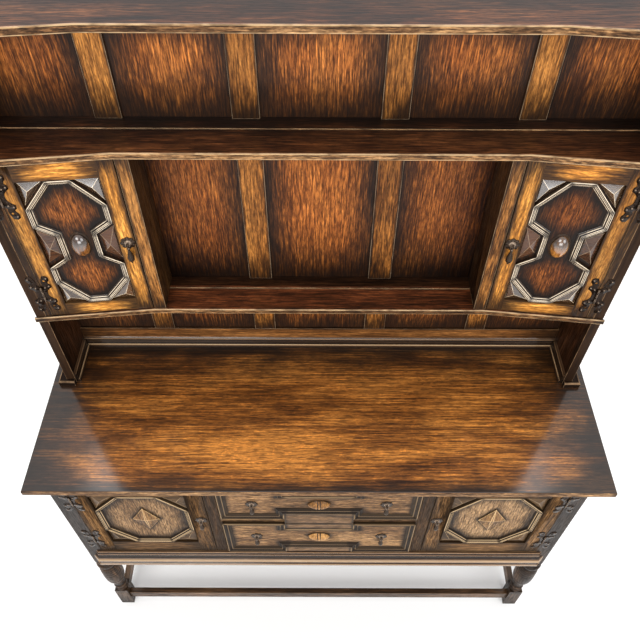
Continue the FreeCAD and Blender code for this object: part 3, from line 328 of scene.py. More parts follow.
M["base_stile"] = oak("oak_base_stile", lin(52, 37, 22), lin(96, 70, 44), lin(132, 100, 66), w_along=0.06, w_across=0.011,
                      edge=0.86, black=lin(34, 25, 17), pore=0.60, rough=0.42, arris=lin(156, 124, 88), arris_amt=0.45, spec=0.04, coat=0.0,
                      comb=0.35)
M["drawer"] = oak("oak_drawer", lin(66, 46, 28), lin(114, 84, 55), lin(158, 123, 84), w_along=0.03, w_across=0.02,
                  edge=0.7, pore=0.70, relief="dark", rough=0.42, arris=lin(150, 122, 90), arris_amt=0.4, spec=0.08,
                  coat=0.03, comb=0.60, gm=(18.0, 240.0), streak=0.14)
# upper drawer: a lighter copy of the drawer oak, painted light against the worktop's shadow
M["drawer_lit"] = oak("oak_drawer_upper_painted_lit", lin(78, 56, 35), lin(132, 99, 66), lin(180, 142, 99), w_along=0.03, w_across=0.02,
                       edge=0.7, pore=0.70, relief="dark", rough=0.42, arris=lin(160, 130, 97), arris_amt=0.4, spec=0.08,
                       coat=0.03, comb=0.60, gm=(18.0, 240.0), streak=0.14)
# shelf: the wide dark band at the back is painted shade and reflection
M["shelf"] = oak("oak_shelf", lin(36, 19, 11), lin(76, 43, 25), lin(116, 72, 42), w_along=0.05, w_across=(0.012, 0.14),
                 edge=0.97, pore=0.6, relief="nose", rough=0.36, coat=0.35, coat_rough=0.10, comb=0.3,
                 nose=lin(116, 84, 54), arris=lin(190, 156, 118), arris_amt=0.65)
# lower shelf: the wide dark ends are painted shade of the niche
M["low_shelf"] = oak("oak_low_shelf", lin(46, 24, 12), lin(100, 54, 30), lin(148, 86, 48), w_along=(0.34, 0.28),
                     w_across=(0.010, 0.05), edge=0.94, pore=0.6, relief="nose", rough=0.36, coat=0.35, coat_rough=0.10,
                     comb=0.3, nose=lin(116, 84, 54), arris=lin(190, 156, 118), arris_amt=0.65)
M["end"] = oak("oak_end", lin(28, 16, 9), lin(52, 31, 18), lin(76, 47, 28), w_along=0.06, w_across=0.03, spec=0.06,
               edge=0.92, pore=0.5, relief="nose", nose=lin(50, 33, 20), arris=lin(160, 128, 96), arris_amt=0.6, coat=0.0)
M["post"] = oak("oak_post", lin(74, 43, 18), lin(124, 80, 37), lin(162, 111, 57), w_along=(0.06, 0.06), w_across=0.007,
                edge=0.92, pore=0.6, relief="dark", arris=lin(176, 146, 110), arris_amt=0.6, comb=0.35, spec=0.10,
                coat=0.08, coat_rough=0.20, gm=(22.0, 260.0), streak=0.12)
M["rail"] = oak("oak_rail", lin(38, 20, 11), lin(74, 42, 22), lin(112, 70, 38), w_along=0.08, w_across=0.016,
                edge=0.90, pore=0.5, arris_amt=0.4, spec=0.12, coat=0.06)
M["carcase"] = oak("oak_carcase", lin(40, 26, 15), lin(76, 52, 31), lin(110, 79, 49), w_along=0.08, w_across=0.03,
                   edge=0.82, black=lin(30, 22, 15), pore=0.55, arris=lin(146, 114, 78), arris_amt=0.45, spec=0.05, coat=0.0)
M["dark"] = oak("oak_leg", lin(30, 21, 14), lin(58, 42, 29), lin(92, 68, 48), w_along=0.05, w_across=0.010, spec=0.12,
                edge=0.7, pore=0.5, relief="dark", rough=0.36, coat=0.05, coat_rough=0.18, arris=lin(126, 100, 74),
                arris_amt=0.5)
M["stretch"] = oak("oak_stretcher", lin(52, 36, 23), lin(94, 68, 46), lin(132, 100, 70), w_along=0.05, w_across=0.004,
                   edge=0.6, pore=0.45, rough=0.38, coat=0.16, coat_rough=0.16, arris=lin(150, 122, 92), arris_amt=0.4,
                   big=0.5, streak=0.15, relief="tone", spec=0.14)
M["mould"] = oak("oak_moulding", lin(42, 28, 17), lin(82, 58, 36), lin(152, 125, 92), w_along=0.008, w_across=0,
                 edge=0.70, pore=0.0, relief="wear_and_shade", rough=0.26, coat=0.5, coat_rough=0.14,
                 arris=lin(238, 222, 196), arris_amt=0.0, tint=0.2, fine=0.10, bump=0.08, spec=0.2)
M["base_mould"] = oak("oak_base_moulding", lin(42, 32, 21), lin(76, 59, 42), lin(118, 96, 70), w_along=0.008, w_across=0,
                      edge=0.70, pore=0.0, relief="wear_and_shade", rough=0.36, coat=0.05, coat_rough=0.20,
                      arris=lin(196, 168, 130), arris_amt=0.0, tint=0.2, fine=0.10, bump=0.08, spec=0.05)
M["run"] = oak("oak_run", lin(32, 22, 14), lin(70, 49, 32), lin(122, 92, 63), w_along=0.02, w_across=0,
               edge=0.5, pore=0.30, relief="wear_and_shade", rough=0.28, coat=0.45, coat_rough=0.12,
               arris=lin(184, 156, 120), arris_amt=0.0, fine=0.6, bump=0.10, comb=0.65, spec=0.15)
M["boss"] = oak("oak_boss", lin(84, 48, 13), lin(126, 77, 26), lin(160, 106, 42), w_along=0.004, w_across=0.004,
                edge=0.6, pore=0.10, relief="dark", rough=0.30, coat=1.0, coat_rough=0.17, coat_ior=2.0, spec=0.1,
                arris=lin(206, 170, 120), arris_amt=0.8, tint=0.1, bump=0.06)
M["split"] = oak("oak_split_turning", lin(96, 64, 32), lin(140, 99, 54), lin(176, 132, 80), w_along=0.002, w_across=0.003,
                 edge=0.7, pore=0.30, relief="dark", rough=0.34, coat=0.18, coat_rough=0.20, spec=0.12, arris_amt=0.0,
                 tint=0.1, bump=0.08)
M["facet"] = oak("oak_facet", lin(46, 31, 18), lin(60, 41, 24), lin(76, 54, 33), w_along=0.003, w_across=0.003,
                 edge=0.5, pore=0.05, relief="dark", rough=0.22, coat=1.0, coat_rough=0.15, coat_ior=2.1, spec=0.5,
                 arris=lin(212, 188, 152), arris_amt=0.85, tint=0.2, bump=0.05, fine=0.15, streak=0.12)
M["base_facet"] = oak("oak_base_facet", lin(44, 32, 20), lin(66, 49, 32), lin(92, 70, 47), w_along=0.004, w_across=0.004,
                      edge=0.6, pore=0.25, relief="dark", rough=0.36, coat=0.05, coat_rough=0.20, spec=0.10,
                      arris=lin(168, 142, 108), arris_amt=0.7, tint=0.2, bump=0.06, streak=0.12, fine=0.3)
M["block"] = oak("oak_block", lin(54, 38, 24), lin(92, 68, 44), lin(128, 98, 68), w_along=0.010, w_across=0.008,
                 edge=0.95, pore=0.6, rough=0.40, coat=0.04, arris=lin(150, 122, 88), arris_amt=0.45, spec=0.10, comb=0.35)
M["diamond"] = oak("oak_diamond", lin(80, 56, 31), lin(116, 84, 50), lin(148, 112, 70), w_along=0.006, w_across=0.006,
                   edge=0.90, pore=0.4, rough=0.36, coat=0.05, coat_rough=0.20, arris=lin(204, 170, 124), arris_amt=0.9,
                   bump=0.08, streak=0.12, spec=0.08, comb=0.4, relief="dark")
M["waist"] = oak("oak_waist_facet", lin(36, 21, 12), lin(56, 33, 19), lin(80, 49, 29), w_along=0.004, w_across=0.004,
                 edge=0.7, pore=0.1, relief="dark", rough=0.28, coat=0.55, coat_rough=0.14, coat_ior=1.6, spec=0.2,
                 arris=lin(176, 150, 118), arris_amt=0.45, tint=0.2, bump=0.05, fine=0.2, streak=0.12)
M["nose"] = oak("oak_shelf_edge", lin(60, 40, 25), lin(104, 74, 47), lin(156, 120, 82), w_along=0.03, w_across=0.003,
                edge=0.75, pore=0.7, rough=0.42, coat=0.03, coat_rough=0.20, spec=0.10, arris=lin(200, 168, 126),
                arris_amt=0.75, comb=0.6, gm=(16.0, 240.0), streak=0.14)
M["top_edge"] = oak("oak_worktop_edge", lin(66, 45, 28), lin(108, 79, 52), lin(154, 120, 83), w_along=0.03, w_across=0,
                    edge=0.75, pore=0.7, rough=0.42, coat=0.0, spec=0.08, arris=lin(214, 184, 144),
                    arris_amt=0.9, comb=0.6, gm=(16.0, 240.0), streak=0.14)
M["low_rail"] = oak("oak_low_rail", lin(70, 42, 20), lin(112, 72, 36), lin(150, 102, 56), w_along=0.12, w_across=0.004,
                    edge=0.85, pore=0.5, rough=0.38, coat=0.15, coat_rough=0.14, spec=0.12, comb=0.3, gm=(9.0, 230.0),
                    arris=lin(150, 120, 88), arris_amt=0.5)
M["plain"] = oak("oak_plain", lin(120, 84, 50), lin(156, 114, 72), lin(184, 144, 98), w_along=0.03, w_across=0.02,
                 edge=0.35, pore=0.35, rough=0.6, coat=0.0, arris_amt=0.2)
M["iron"] = iron()

# ---------------------------------------------------------------- mesh helpers


def label_islands(bm):
    bm.faces.ensure_lookup_table()
    lab = [-1] * len(bm.faces)
    n = 0
    for f in bm.faces:
        if lab[f.index] >= 0:
            continue
        stack = [f]
        lab[f.index] = n
        while stack:
            q = stack.pop()
            for e in q.edges:
                for r in e.link_faces:
                    if lab[r.index] < 0:
                        lab[r.index] = n
                        stack.append(r)
        n += 1
    return lab, n


def rnd(*k):
    """A repeatable number from 0 to 1."""
    x = math.sin(sum((i + 1) * 12.9898 * v for i, v in enumerate(k))) * 43758.5453
    return x - math.floor(x)


def write_tags(me, faces_lab, n, frames, grain, arris_faces, relief, salt=0.0):
    """Corner attributes loc, half and tag. frames: world matrix whose axes the boards follow; grain: 'x', 'y',
    'z' or 'long', one for all or one for each island; relief(co, normal, island) gives tag's third number."""
    nl = len(me.loops)
    co = np.zeros(len(me.vertices) * 3)
    me.vertices.foreach_get("co", co)
    co = co.reshape(-1, 3)
    inv = np.array(frames.to_3x3().normalized().inverted())
    lc = co @ inv.T
    vi = np.zeros(nl, int)
    me.loops.foreach_get("vertex_index", vi)
    start = np.array([p.loop_start for p in me.polygons])
    total = np.array([p.loop_total for p in me.polygons])
    face_of = np.repeat(np.arange(len(me.polygons)), total)
    order = np.argsort(start, kind="stable")
    assert (order == np.arange(len(start))).all()
    lab = np.array(faces_lab)[face_of]
    loc, half, tag = np.zeros((nl, 3)), np.zeros((nl, 3)), np.zeros((nl, 3))
    for i in range(n):
        sel = lab == i
        if not sel.any():
            continue
        pts = lc[vi[sel]]
        lo, hi = pts.min(0), pts.max(0)
        size = hi - lo
        gr = grain[i] if isinstance(grain, (list, tuple)) else grain
        a = int(np.argmax(size)) if gr == "long" else "xyz".index(gr)
        rest = [j for j in range(3) if j != a]
        b, c = rest if size[rest[0]] >= size[rest[1]] else rest[::-1]
        q = (pts - (lo + hi) / 2)[:, (a, b, c)]
        loc[sel] = q
        half[sel] = (size / 2)[[a, b, c]]
        mid = (lo + hi) / 2
        tag[sel, 0] = rnd(round(float(mid[0]), 3), round(float(mid[1]), 3), round(float(mid[2]), 3), salt)
    tag[:, 1] = np.isin(face_of, list(arris_faces)) * 1.0
    if relief is not None:
        nrm = np.array([p.normal for p in me.polygons])[face_of]
        tag[:, 2] = relief(co[vi], nrm, lab)
    for name, val in (("loc", loc), ("half", half), ("tag", tag)):
        at = me.attributes.get(name) or me.attributes.new(name, "FLOAT_VECTOR", "CORNER")
        at.data.foreach_set("vector", val.astype(np.float32).ravel())


def smooth(me, angle=38.0, area=True):
    me.polygons.foreach_set("use_smooth", [True] * len(me.polygons))
    me.set_sharp_from_angle(angle=math.radians(angle))


def finish_bm(bm, name, mat, body, replaces, frames=None, grain="long", bevel=0.0007, seg=2, relief=None, split=None,
              salt=0.0, angle=30.0, weighted=True, slot=None, arris_ok=None):
    """Bevel, label, tag and hand over a mesh as a piece."""
    mark = bm.faces.layers.int.new("arris")
    if bevel:
        bmesh.ops.recalc_face_normals(bm, faces=bm.faces)
        sharp = [e for e in bm.edges if len(e.link_faces) == 2 and e.calc_face_angle(0) > math.radians(angle)]
        bmesh.ops.bevel(bm, geom=sharp, offset=bevel, segments=seg, profile=0.5, affect="EDGES", clamp_overlap=True)
        bm.faces.ensure_lookup_table()
        bm.normal_update()
        for f in bm.faces:
            a = f.calc_area()
            if a > 0:
                thin = a / max(e.calc_length() for e in f.edges) < bevel * 1.1
                if thin and (arris_ok is None or arris_ok(f.calc_center_median())):
                    f[mark] = 1
    if split:
        split(bm)
        bm.faces.ensure_lookup_table()
    bm.faces.index_update()
    arris = {f.index for f in bm.faces if f[mark]}
    bm.faces.layers.int.remove(mark)
    lab, n = label_islands(bm)
    me = bpy.data.meshes.new(name)
    bm.to_mesh(me)
    bm.free()
    write_tags(me, lab, n, frames or Matrix.Identity(4), grain, arris, relief, salt)
    smooth(me)
    o = bpy.data.objects.new(name, me)
    scene.collection.objects.link(o)
    if weighted:
        w = o.modifiers.new("normals", "WEIGHTED_NORMAL")
        w.keep_sharp = True
    me.materials.append(mat)
    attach(o, body)
    if replaces:
        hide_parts(*([replaces] if isinstance(replaces, str) else replaces))
    return o


def node_bm(node, cuts=()):
    """A CAD node's shape as clean faces, to be dressed as a piece of its own."""
    bm = bmesh.new()
    bm.from_mesh(N[node].data)
    bmesh.ops.remove_doubles(bm, verts=bm.verts, dist=2e-6)
    for at, no in cuts:
        bmesh.ops.bisect_plane(bm, geom=list(bm.verts) + list(bm.edges) + list(bm.faces), plane_co=at, plane_no=no,
                               clear_inner=False, clear_outer=False)
    if not cuts:
        bmesh.ops.dissolve_limit(bm, angle_limit=math.radians(0.6), verts=bm.verts, edges=bm.edges,
                                 delimit=set())
    bmesh.ops.recalc_face_normals(bm, faces=bm.faces)
    return bm


def dress(node, mat, **kw):
    name = kw.pop("name", node + "_oak")
    cuts = kw.pop("cuts", ())
    return finish_bm(node_bm(node, cuts), name, M[mat], BODY_OF[node], node, **kw)


def nose_front(co, nrm, lab):
    """1 on the front edge of a shelf or top, 0 elsewhere."""
    return np.clip((-nrm[:, 1] - 0.35) / 0.4, 0, 1)


# ------------------------------------------------------- boards of the carcase
dress("worktop", "top", grain="x", bevel=0, relief=nose_front)
for n in ("main_shelf", "top_board"):
    dress(n, "shelf", grain="x", bevel=0.0005, relief=nose_front)


def strip_cut(bm):
    """Parts the board along the back edge of its plate groove, so that the strip behind it takes its own darker oak:
    painted shade and reflection over a deeper stain.
    """
    bmesh.ops.bisect_plane(bm, geom=bm.verts[:] + bm.edges[:] + bm.faces[:], plane_co=(0, 0.1845, 0), plane_no=(0, 1, 0))
    bm.faces.ensure_lookup_table()


dress("lower_shelf", "low_shelf", grain="x", bevel=0.0005, relief=nose_front, split=strip_cut)


# front faces of the boards take a lighter edge oak: wear with a painted highlight
for n in ("worktop", "main_shelf", "top_board", "lower_shelf"):
    me = bpy.data.objects[n + "_oak"].data
    me.materials.append(M["top_edge" if n == "worktop" else "nose"])
    for f in me.polygons:
        if f.normal.y < -0.55 and abs(f.normal.z) < 0.75:
            f.material_index = 1
    # strip behind the groove: dark end oak, painted shade and reflection over a deeper stain
    if n == "lower_shelf":
        me.materials.append(M["end"])
        for f in me.polygons:
            if f.normal.z > 0.9 and f.center.y > 0.1845:
                f.material_index = 2


def back_painted_shading(co, nrm, lab):
    """The boards inside the niche carry painted shade, deepest near the posts; the boards above it and the bay below
    are painted lighter.
    """
    z = co[:, 2] * 1000 - ZO
    side = np.clip((np.abs(co[:, 0]) * 1000 - 170.0) / 165.0, 0, 1)
    return np.where((z > 262) & (z < 694), -0.28 - 0.90 * side, np.where(z < 262, 0.48, 0.28 - 0.20 * side))


# back panels and muntins: painted shade in the niche, painted light above and below it
dress("back_panels", "panel", grain="z", bevel=0, relief=back_painted_shading)
dress("back_muntins", "muntin", grain="z", bevel=0.0011, relief=lambda co, nrm, lab: back_painted_shading(co, nrm, lab) * 0.2 + 0.03)
dress("back_rails", "rail", grain="x", bevel=0.0008)
me = bpy.data.objects["back_rails_oak"].data
me.materials.append(M["low_rail"])
me.materials.append(M["end"])
# rail faces at the niche floor take the dark end oak: painted shade
for f in me.polygons:
    z = f.center.z * 1000 - ZO
    if z < 110.0:
        f.material_index = 1
    elif 225.0 < z < 330.0:
        f.material_index = 2
for n in ("rack_end_left", "rack_end_right"):
    dress(n, "end", grain="z", bevel=0.0010, relief=nose_front)


def post_split(bm):
    bm.faces.ensure_lookup_table()
    bmesh.ops.split(bm, geom=[f for f in bm.faces if f.calc_center_median().y < 0.132])
    bm.faces.ensure_lookup_table()


# the posts' set-back faces and side walls into the niche are painted dark: painted shade
for n in ("cupboard_post_left", "cupboard_post_right"):
    dress(n, "post", grain="z", bevel=0.0009, split=post_split,
          relief=lambda co, nrm, lab: np.where(co[:, 1] > 0.133, 0.90, np.where(np.abs(nrm[:, 0]) > 0.7, 0.80, 0.0)))
dress("hanging_stiles", "stile", grain="z", bevel=0.0008, relief=lambda co, nrm, lab: np.full(len(co), -0.55))
dress("rack_plinths", "end", grain="y", bevel=0.0006)
for n in ("base_sides", "divider_left", "divider_right", "case_floor"):
    dress(n, "carcase", grain="z" if n != "case_floor" else "x", bevel=0.0007)
dress("case_back", "carcase", grain="x", bevel=0.0006)
dress("front_rails", "carcase", grain="x", bevel=0.0009)
dress("rear_legs", "dark", grain="z", bevel=0.0010)
# stretcher: top painted lighter, front a little, other faces darker: painted light by facing
dress("front_stretcher", "stretch", grain="x", bevel=0.0011,
      relief=lambda co, nrm, lab: np.where(nrm[:, 2] > 0.5, 0.40, np.where(nrm[:, 1] < -0.5, 0.14, -0.1)))
dress("side_stretchers", "stretch", grain="y", bevel=0.0011)
dress("drawer_runners", "plain", grain="y", bevel=0.0004)
for t in ("upper", "lower"):
    dress("drawer_%s_box" % t, "plain", grain="long", bevel=0.0)

# SKIRT and RUN give the shade value by height: pale crests are wear with a painted highlight, dark grooves painted
# shade
SKIRT = [(0, 0.1), (1, 0.7), (9, 0.6), (11, 1.0), (13, 0.95), (14.5, 0.05), (15.5, 0.2), (20, 0.5), (24, 0.45),
         (27, 0.05), (29, 0.95), (31, 0.9), (34, 0.5), (36, 0.75)]


def skirt_relief(co, nrm, lab):
    z = co[:, 2] * 1000 - ZO
    return np.interp(z, [p[0] for p in SKIRT], [p[1] for p in SKIRT])


dress("rack_skirting", "run", grain="long", bevel=0, relief=skirt_relief)

RUN = [(-93, 0.1), (-90, 0.25), (-84, 0.22), (-71, 0.45), (-69, 0.8), (-62, 0.9), (-60.6, 0.95), (-59, 0.1), (-55.5, 0.04),
       (-54.5, 0.3), (-50, 0.55), (-46, 0.78), (-38, 0.93), (-33, 0.88), (-31, 0.4), (-30, 0.08), (-20, 0.08),
       (-18.5, 0.3), (-16, 0.85), (-12.5, 0.85), (-11, 0.2), (-9, 0.03), (-7.5, 0.1), (-6.2, 0.82), (-2, 0.88),
       (-0.5, 0.7), (0, 0.3)]


def run_relief(co, nrm, lab):
    z = co[:, 2] * 1000 - ZO + 447.0
    return np.interp(z, [p[0] for p in RUN], [p[1] for p in RUN])


dress("base_moulding", "run", grain="x", bevel=0, relief=run_relief)

# ---------------------------------------------------------------- door frames


def dress_frame(kind, side):
    tag = ("base_door_" if kind == "base" else "cupboard_door_") + ("left" if side < 0 else "right")
    pl = door_place(kind, side)
    sx = -side
    if kind == "base":
        w, sa, sb = 333.0, 46.0, 46.0
    else:
        w, sa, sb = 230.5, 37.0, 34.0
    ax = (pl.to_3x3() @ Vector((1, 0, 0))).normalized()
    cuts = [(pl @ Vector((sx * x, 0, 0)), ax) for x in (sa, w - sb)]
    inv = pl.inverted()

    def split(bm):
        """Part the stiles from the rails along the joints."""
        bm.faces.ensure_lookup_table()
        for lo, hi in ((-1e9, sa + 0.2), (w - sb - 0.2, 1e9)):
            fs = [f for f in bm.faces if lo < sx * (inv @ f.calc_center_median()).x < hi]
            bmesh.ops.split(bm, geom=fs)
        bm.faces.ensure_lookup_table()

    def tone(co, nrm, lab):
        q = np.array(inv)
        x = sx * (co @ q[:3, :3].T + q[:3, 3])[:, 0]
        m = np.zeros(int(lab.max()) + 1)
        for i in range(len(m)):
            if (lab == i).any():
                m[i] = (x[lab == i].min() + x[lab == i].max()) / 2
        x = m[lab]
        return np.where(x < sa, -0.55, np.where(x > w - sb, -0.06, 0.20))

    mat = "base_stile" if kind == "base" else "stile"
    dress(tag + "_frame", mat, frames=pl, grain="long", bevel=0.0008, split=split, cuts=cuts,
          relief=None if kind == "base" else tone)


for side in (-1, 1):
    dress_frame("base", side)
    dress_frame("cupboard", side)

# ------------------------------------------- mouldings, bosses, panels, fronts

# distance in from the outline, height proud of the panel, and a shade value: pale on crests (wear with a painted
# highlight), dark in grooves (painted shade)
SEC = [(0.0, 0.0, 0.0), (0.0, 7.4, 0.10), (0.6, 8.8, 1.0), (1.7, 9.5, 1.0), (2.3, 9.5, 0.22), (3.7, 9.2, 0.15),
       (4.2, 9.1, 1.0), (4.9, 8.4, 1.0), (5.4, 7.2, 0.05), (5.9, 7.1, 0.0), (6.3, 7.9, 0.6), (6.7, 8.1, 1.0),
       (7.6, 7.7, 1.0), (8.3, 6.7, 0.14), (9.3, 4.9, 0.0), (9.9, 4.6, 0.0), (10.3, 5.1, 0.5), (10.7, 5.1, 1.0),
       (11.6, 4.2, 0.95), (12.2, 2.7, 0.0), (13.2, 2.1, 0.18), (13.9, 1.5, 0.22), (14.0, 0.0, 0.0)]
SEC_B = [(0.0, 0.0, 0.25), (0.0, 7.4, 0.40)] + SEC[2:]
SEC_D = [(0.0, 0.0, 0.15), (0.0, 6.3, 0.60), (0.6, 7.3, 0.85), (1.4, 7.7, 0.92), (2.2, 7.7, 0.80), (3.4, 7.3, 0.35),
         (4.8, 5.9, 0.12), (7.6, 3.8, 0.03), (10.2, 3.5, 0.05), (11.1, 4.2, 0.45), (11.9, 4.7, 0.85), (13.2, 4.7, 0.8),
         (14.2, 4.0, 0.3), (15.4, 3.0, 0.05), (18.0, 1.9, 0.25), (20.6, 1.1, 0.32), (21.2, 0.0, 0.0)]


def offset_poly(poly, d):
    n, out = len(poly), []
    for i in range(n):
        a, b, c = poly[i - 1], poly[i], poly[(i + 1) % n]
        e1, e2 = Vector((b[0] - a[0], b[1] - a[1])).normalized(), Vector((c[0] - b[0], c[1] - b[1])).normalized()
        n1, n2 = Vector((-e1.y, e1.x)), Vector((-e2.y, e2.x))
        k = 1.0 + n1.dot(n2)
        out.append((b[0] + d * (n1.x + n2.x) / k, b[1] + d * (n1.y + n2.y) / k))
    return out


def ring_moulding(name, poly, y0, high, wide, pl, body, replaces, mat="mould", SEC=SEC):
    """Mitred run of moulding: each side is its own strip, so that grain and tone change at the mitres."""
    area = sum(poly[i][0] * poly[(i + 1) % len(poly)][1] - poly[(i + 1) % len(poly)][0] * poly[i][1]
               for i in range(len(poly)))
    if area < 0:
        poly = poly[::-1]
    verts, faces, loc, half, tag = [], [], [], [], []
    rings = [offset_poly(poly, d * wide) for d, h, w in SEC]
    n = len(poly)
    for i in range(n):
        a0, b0 = Vector(poly[i]), Vector(poly[(i + 1) % n])
        u = (b0 - a0).normalized()
        ln = (b0 - a0).length
        base = len(verts)
        for j, (d, h, w) in enumerate(SEC):
            for q in (rings[j][i], rings[j][(i + 1) % n]):
                verts.append((q[0], y0 - h * high, q[1]))
        for j in range(len(SEC) - 1):
            k = base + 2 * j
            faces.append((k, k + 1, k + 3, k + 2))
            for v, jj in ((0, j), (1, j), (3, j + 1), (2, j + 1)):
                q = verts[k + v]
                s = (Vector((q[0], q[2])) - a0).dot(u) - ln / 2
                loc.append((s / 1000, SEC[jj][0] / 1000, 0.0))
                half.append((ln / 2000 - SEC[jj][0] * 0.0004, 0.5, 0.5))
                tag.append((rnd(i + 1, ln, a0.x, a0.y), 0.0, SEC[jj][2]))
    me = bpy.data.meshes.new(name)
    me.from_pydata(verts, [], faces)
    me.transform(pl)
    for nm, val in (("loc", loc), ("half", half), ("tag", tag)):
        me.attributes.new(nm, "FLOAT_VECTOR", "CORNER").data.foreach_set("vector", np.array(val, np.float32).ravel())
    me.update()
    bm = bmesh.new()
    bm.from_mesh(me)
    bmesh.ops.recalc_face_normals(bm, faces=bm.faces)
    c = pl @ Vector((0, 0, 0))
    f = max(bm.faces, key=lambda f: -(pl.inverted() @ f.calc_center_median()).y)
    out = (pl.to_3x3() @ Vector((0, -1, 0))).normalized()
    seen = sum((f.normal.dot(out)) * f.calc_area() for f in bm.faces)
    if seen < 0:
        bmesh.ops.reverse_faces(bm, faces=bm.faces)
    bm.to_mesh(me)
    bm.free()
    smooth(me, 34.0)
    o = bpy.data.objects.new(name, me)
    scene.collection.objects.link(o)
    me.materials.append(M[mat])
    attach(o, body)
    if replaces:
        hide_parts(replaces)
    return o


def solid_piece(name, shells, mat, pl, body, replaces, slot, bevel=0.6, relief=None, grain="x", seg=2, angle=14.0):
    """Faceted solids given as (points, faces) in the door's own frame, with softened arrises."""
    bm = bmesh.new()
    for pts, fs in shells:
        vs = [bm.verts.new(p) for p in pts]
        for f in fs:
            bm.faces.new([vs[i] for i in f])
    bmesh.ops.recalc_face_normals(bm, faces=bm.faces)
    bm.transform(pl)
    return finish_bm(bm, name, M[mat], body, replaces, frames=pl, grain=grain, bevel=bevel / 1000, seg=seg,
                     relief=relief, angle=angle, slot=slot)


def pyramid(poly, y0, high):
    n = len(poly)
    cx, cz = sum(p[0] for p in poly) / n, sum(p[1] for p in poly) / n
    pts = [(x, y0, z) for x, z in poly] + [(x, y0 - 1.2, z) for x, z in poly] + [(cx, y0 - high, cz)]
    fs = [list(range(n))] + [[i, (i + 1) % n, n + (i + 1) % n, n + i] for i in range(n)]
    fs += [[n + i, n + (i + 1) % n, 2 * n] for i in range(n)]
    return pts, fs


def dome_mesh(cx, cz, y0, a, b, high, rings=14, seg=56, power=1.0):
    pts, fs = [(cx, y0 - high, cz)], []
    for i in range(1, rings + 1):
        t = math.pi / 2 * i / rings
        r, h = math.sin(t) ** power, math.cos(t)
        for k in range(seg):
            q = 2 * math.pi * k / seg
            pts.append((cx + a * r * math.cos(q), y0 - high * h, cz + b * r * math.sin(q)))
    for k in range(seg):
        fs.append([0, 1 + k, 1 + (k + 1) % seg])
    for i in range(rings - 1):
        for k in range(seg):
            p, q = 1 + i * seg + k, 1 + i * seg + (k + 1) % seg
            fs.append([p, p + seg, q + seg, q])
    fs.append([1 + (rings - 1) * seg + k for k in range(seg)][::-1])
    return pts, fs


def poly_dist(px, pz, poly):
    """Distance of points to a closed outline, and whether they are inside it."""
    d = np.full(px.shape, 1e9)
    inside = np.zeros(px.shape, bool)
    n = len(poly)
    for i in range(n):
        x0, z0 = poly[i]
        x1, z1 = poly[(i + 1) % n]
        ex, ez = x1 - x0, z1 - z0
        t = np.clip(((px - x0) * ex + (pz - z0) * ez) / (ex * ex + ez * ez), 0, 1)
        d = np.minimum(d, np.hypot(px - x0 - t * ex, pz - z0 - t * ez))
        cross = ((z0 > pz) != (z1 > pz)) & (px < (x1 - x0) * (pz - z0) / ((z1 - z0) if z1 != z0 else 1e-9) + x0)
        inside ^= cross
    return d, inside


def fade(d, w):
    t = np.clip(1 - d / w, 0, 1)
    return t * t * (3 - 2 * t)


def grid_board(name, x0, x1, z0, z1, y_face, thick, step, mat, pl, body, replaces, slot, relief_fn, grain="z"):
    """A flat board whose face carries a fine grid, so that its darkening can follow the mouldings: stain with painted
    shade beside them.
    """
    nx, nz = max(2, round((x1 - x0) / step)), max(2, round((z1 - z0) / step))
    xs, zs = np.linspace(x0, x1, nx + 1), np.linspace(z0, z1, nz + 1)
    gx, gz = np.meshgrid(xs, zs)
    pts = [(x, y_face, z) for x, z in zip(gx.ravel(), gz.ravel())]
    fs = []
    for j in range(nz):
        for i in range(nx):
            a = j * (nx + 1) + i
            fs.append((a, a + 1, a + nx + 2, a + nx + 1))
    rim = [i for i in range(nx + 1)] + [j * (nx + 1) + nx for j in range(1, nz + 1)]
    rim += [nz * (nx + 1) + i for i in range(nx - 1, -1, -1)] + [j * (nx + 1) for j in range(nz - 1, 0, -1)]
    b = len(pts)
    for i in rim:
        pts.append((pts[i][0], y_face + thick, pts[i][2]))
    m = len(rim)
    for k in range(m):
        fs.append((rim[k], b + k, b + (k + 1) % m, rim[(k + 1) % m]))
    fs.append(tuple(range(b, b + m)))
    bm = bmesh.new()
    vs = [bm.verts.new(p) for p in pts]
    for f in fs:
        bm.faces.new([vs[i] for i in f])
    bmesh.ops.recalc_face_normals(bm, faces=bm.faces)
    bm.transform(pl)
    inv = np.array(pl.inverted())

    def rel(co, nrm, lab):
        q = co @ inv[:3, :3].T + inv[:3, 3]
        r = relief_fn(q[:, 0], q[:, 2])
        return np.where(q[:, 1] > y_face + 0.5 * thick, 0.3, r)

    return finish_bm(bm, name, M[mat], body, replaces, frames=pl, grain=grain, bevel=0, relief=rel, slot=slot)


def proud(pl, y0, lo=4.2, hi=9.0):
    """1 where a boss stays close to its panel, 0 on its crown: painted shade at the boss's foot."""
    q = np.array(pl.inverted())
    return lambda co, nrm, lab: 0.95 * np.clip((hi - (y0 - (co @ q[:3, :3].T + q[:3, 3])[:, 1])) / (hi - lo), 0, 1)


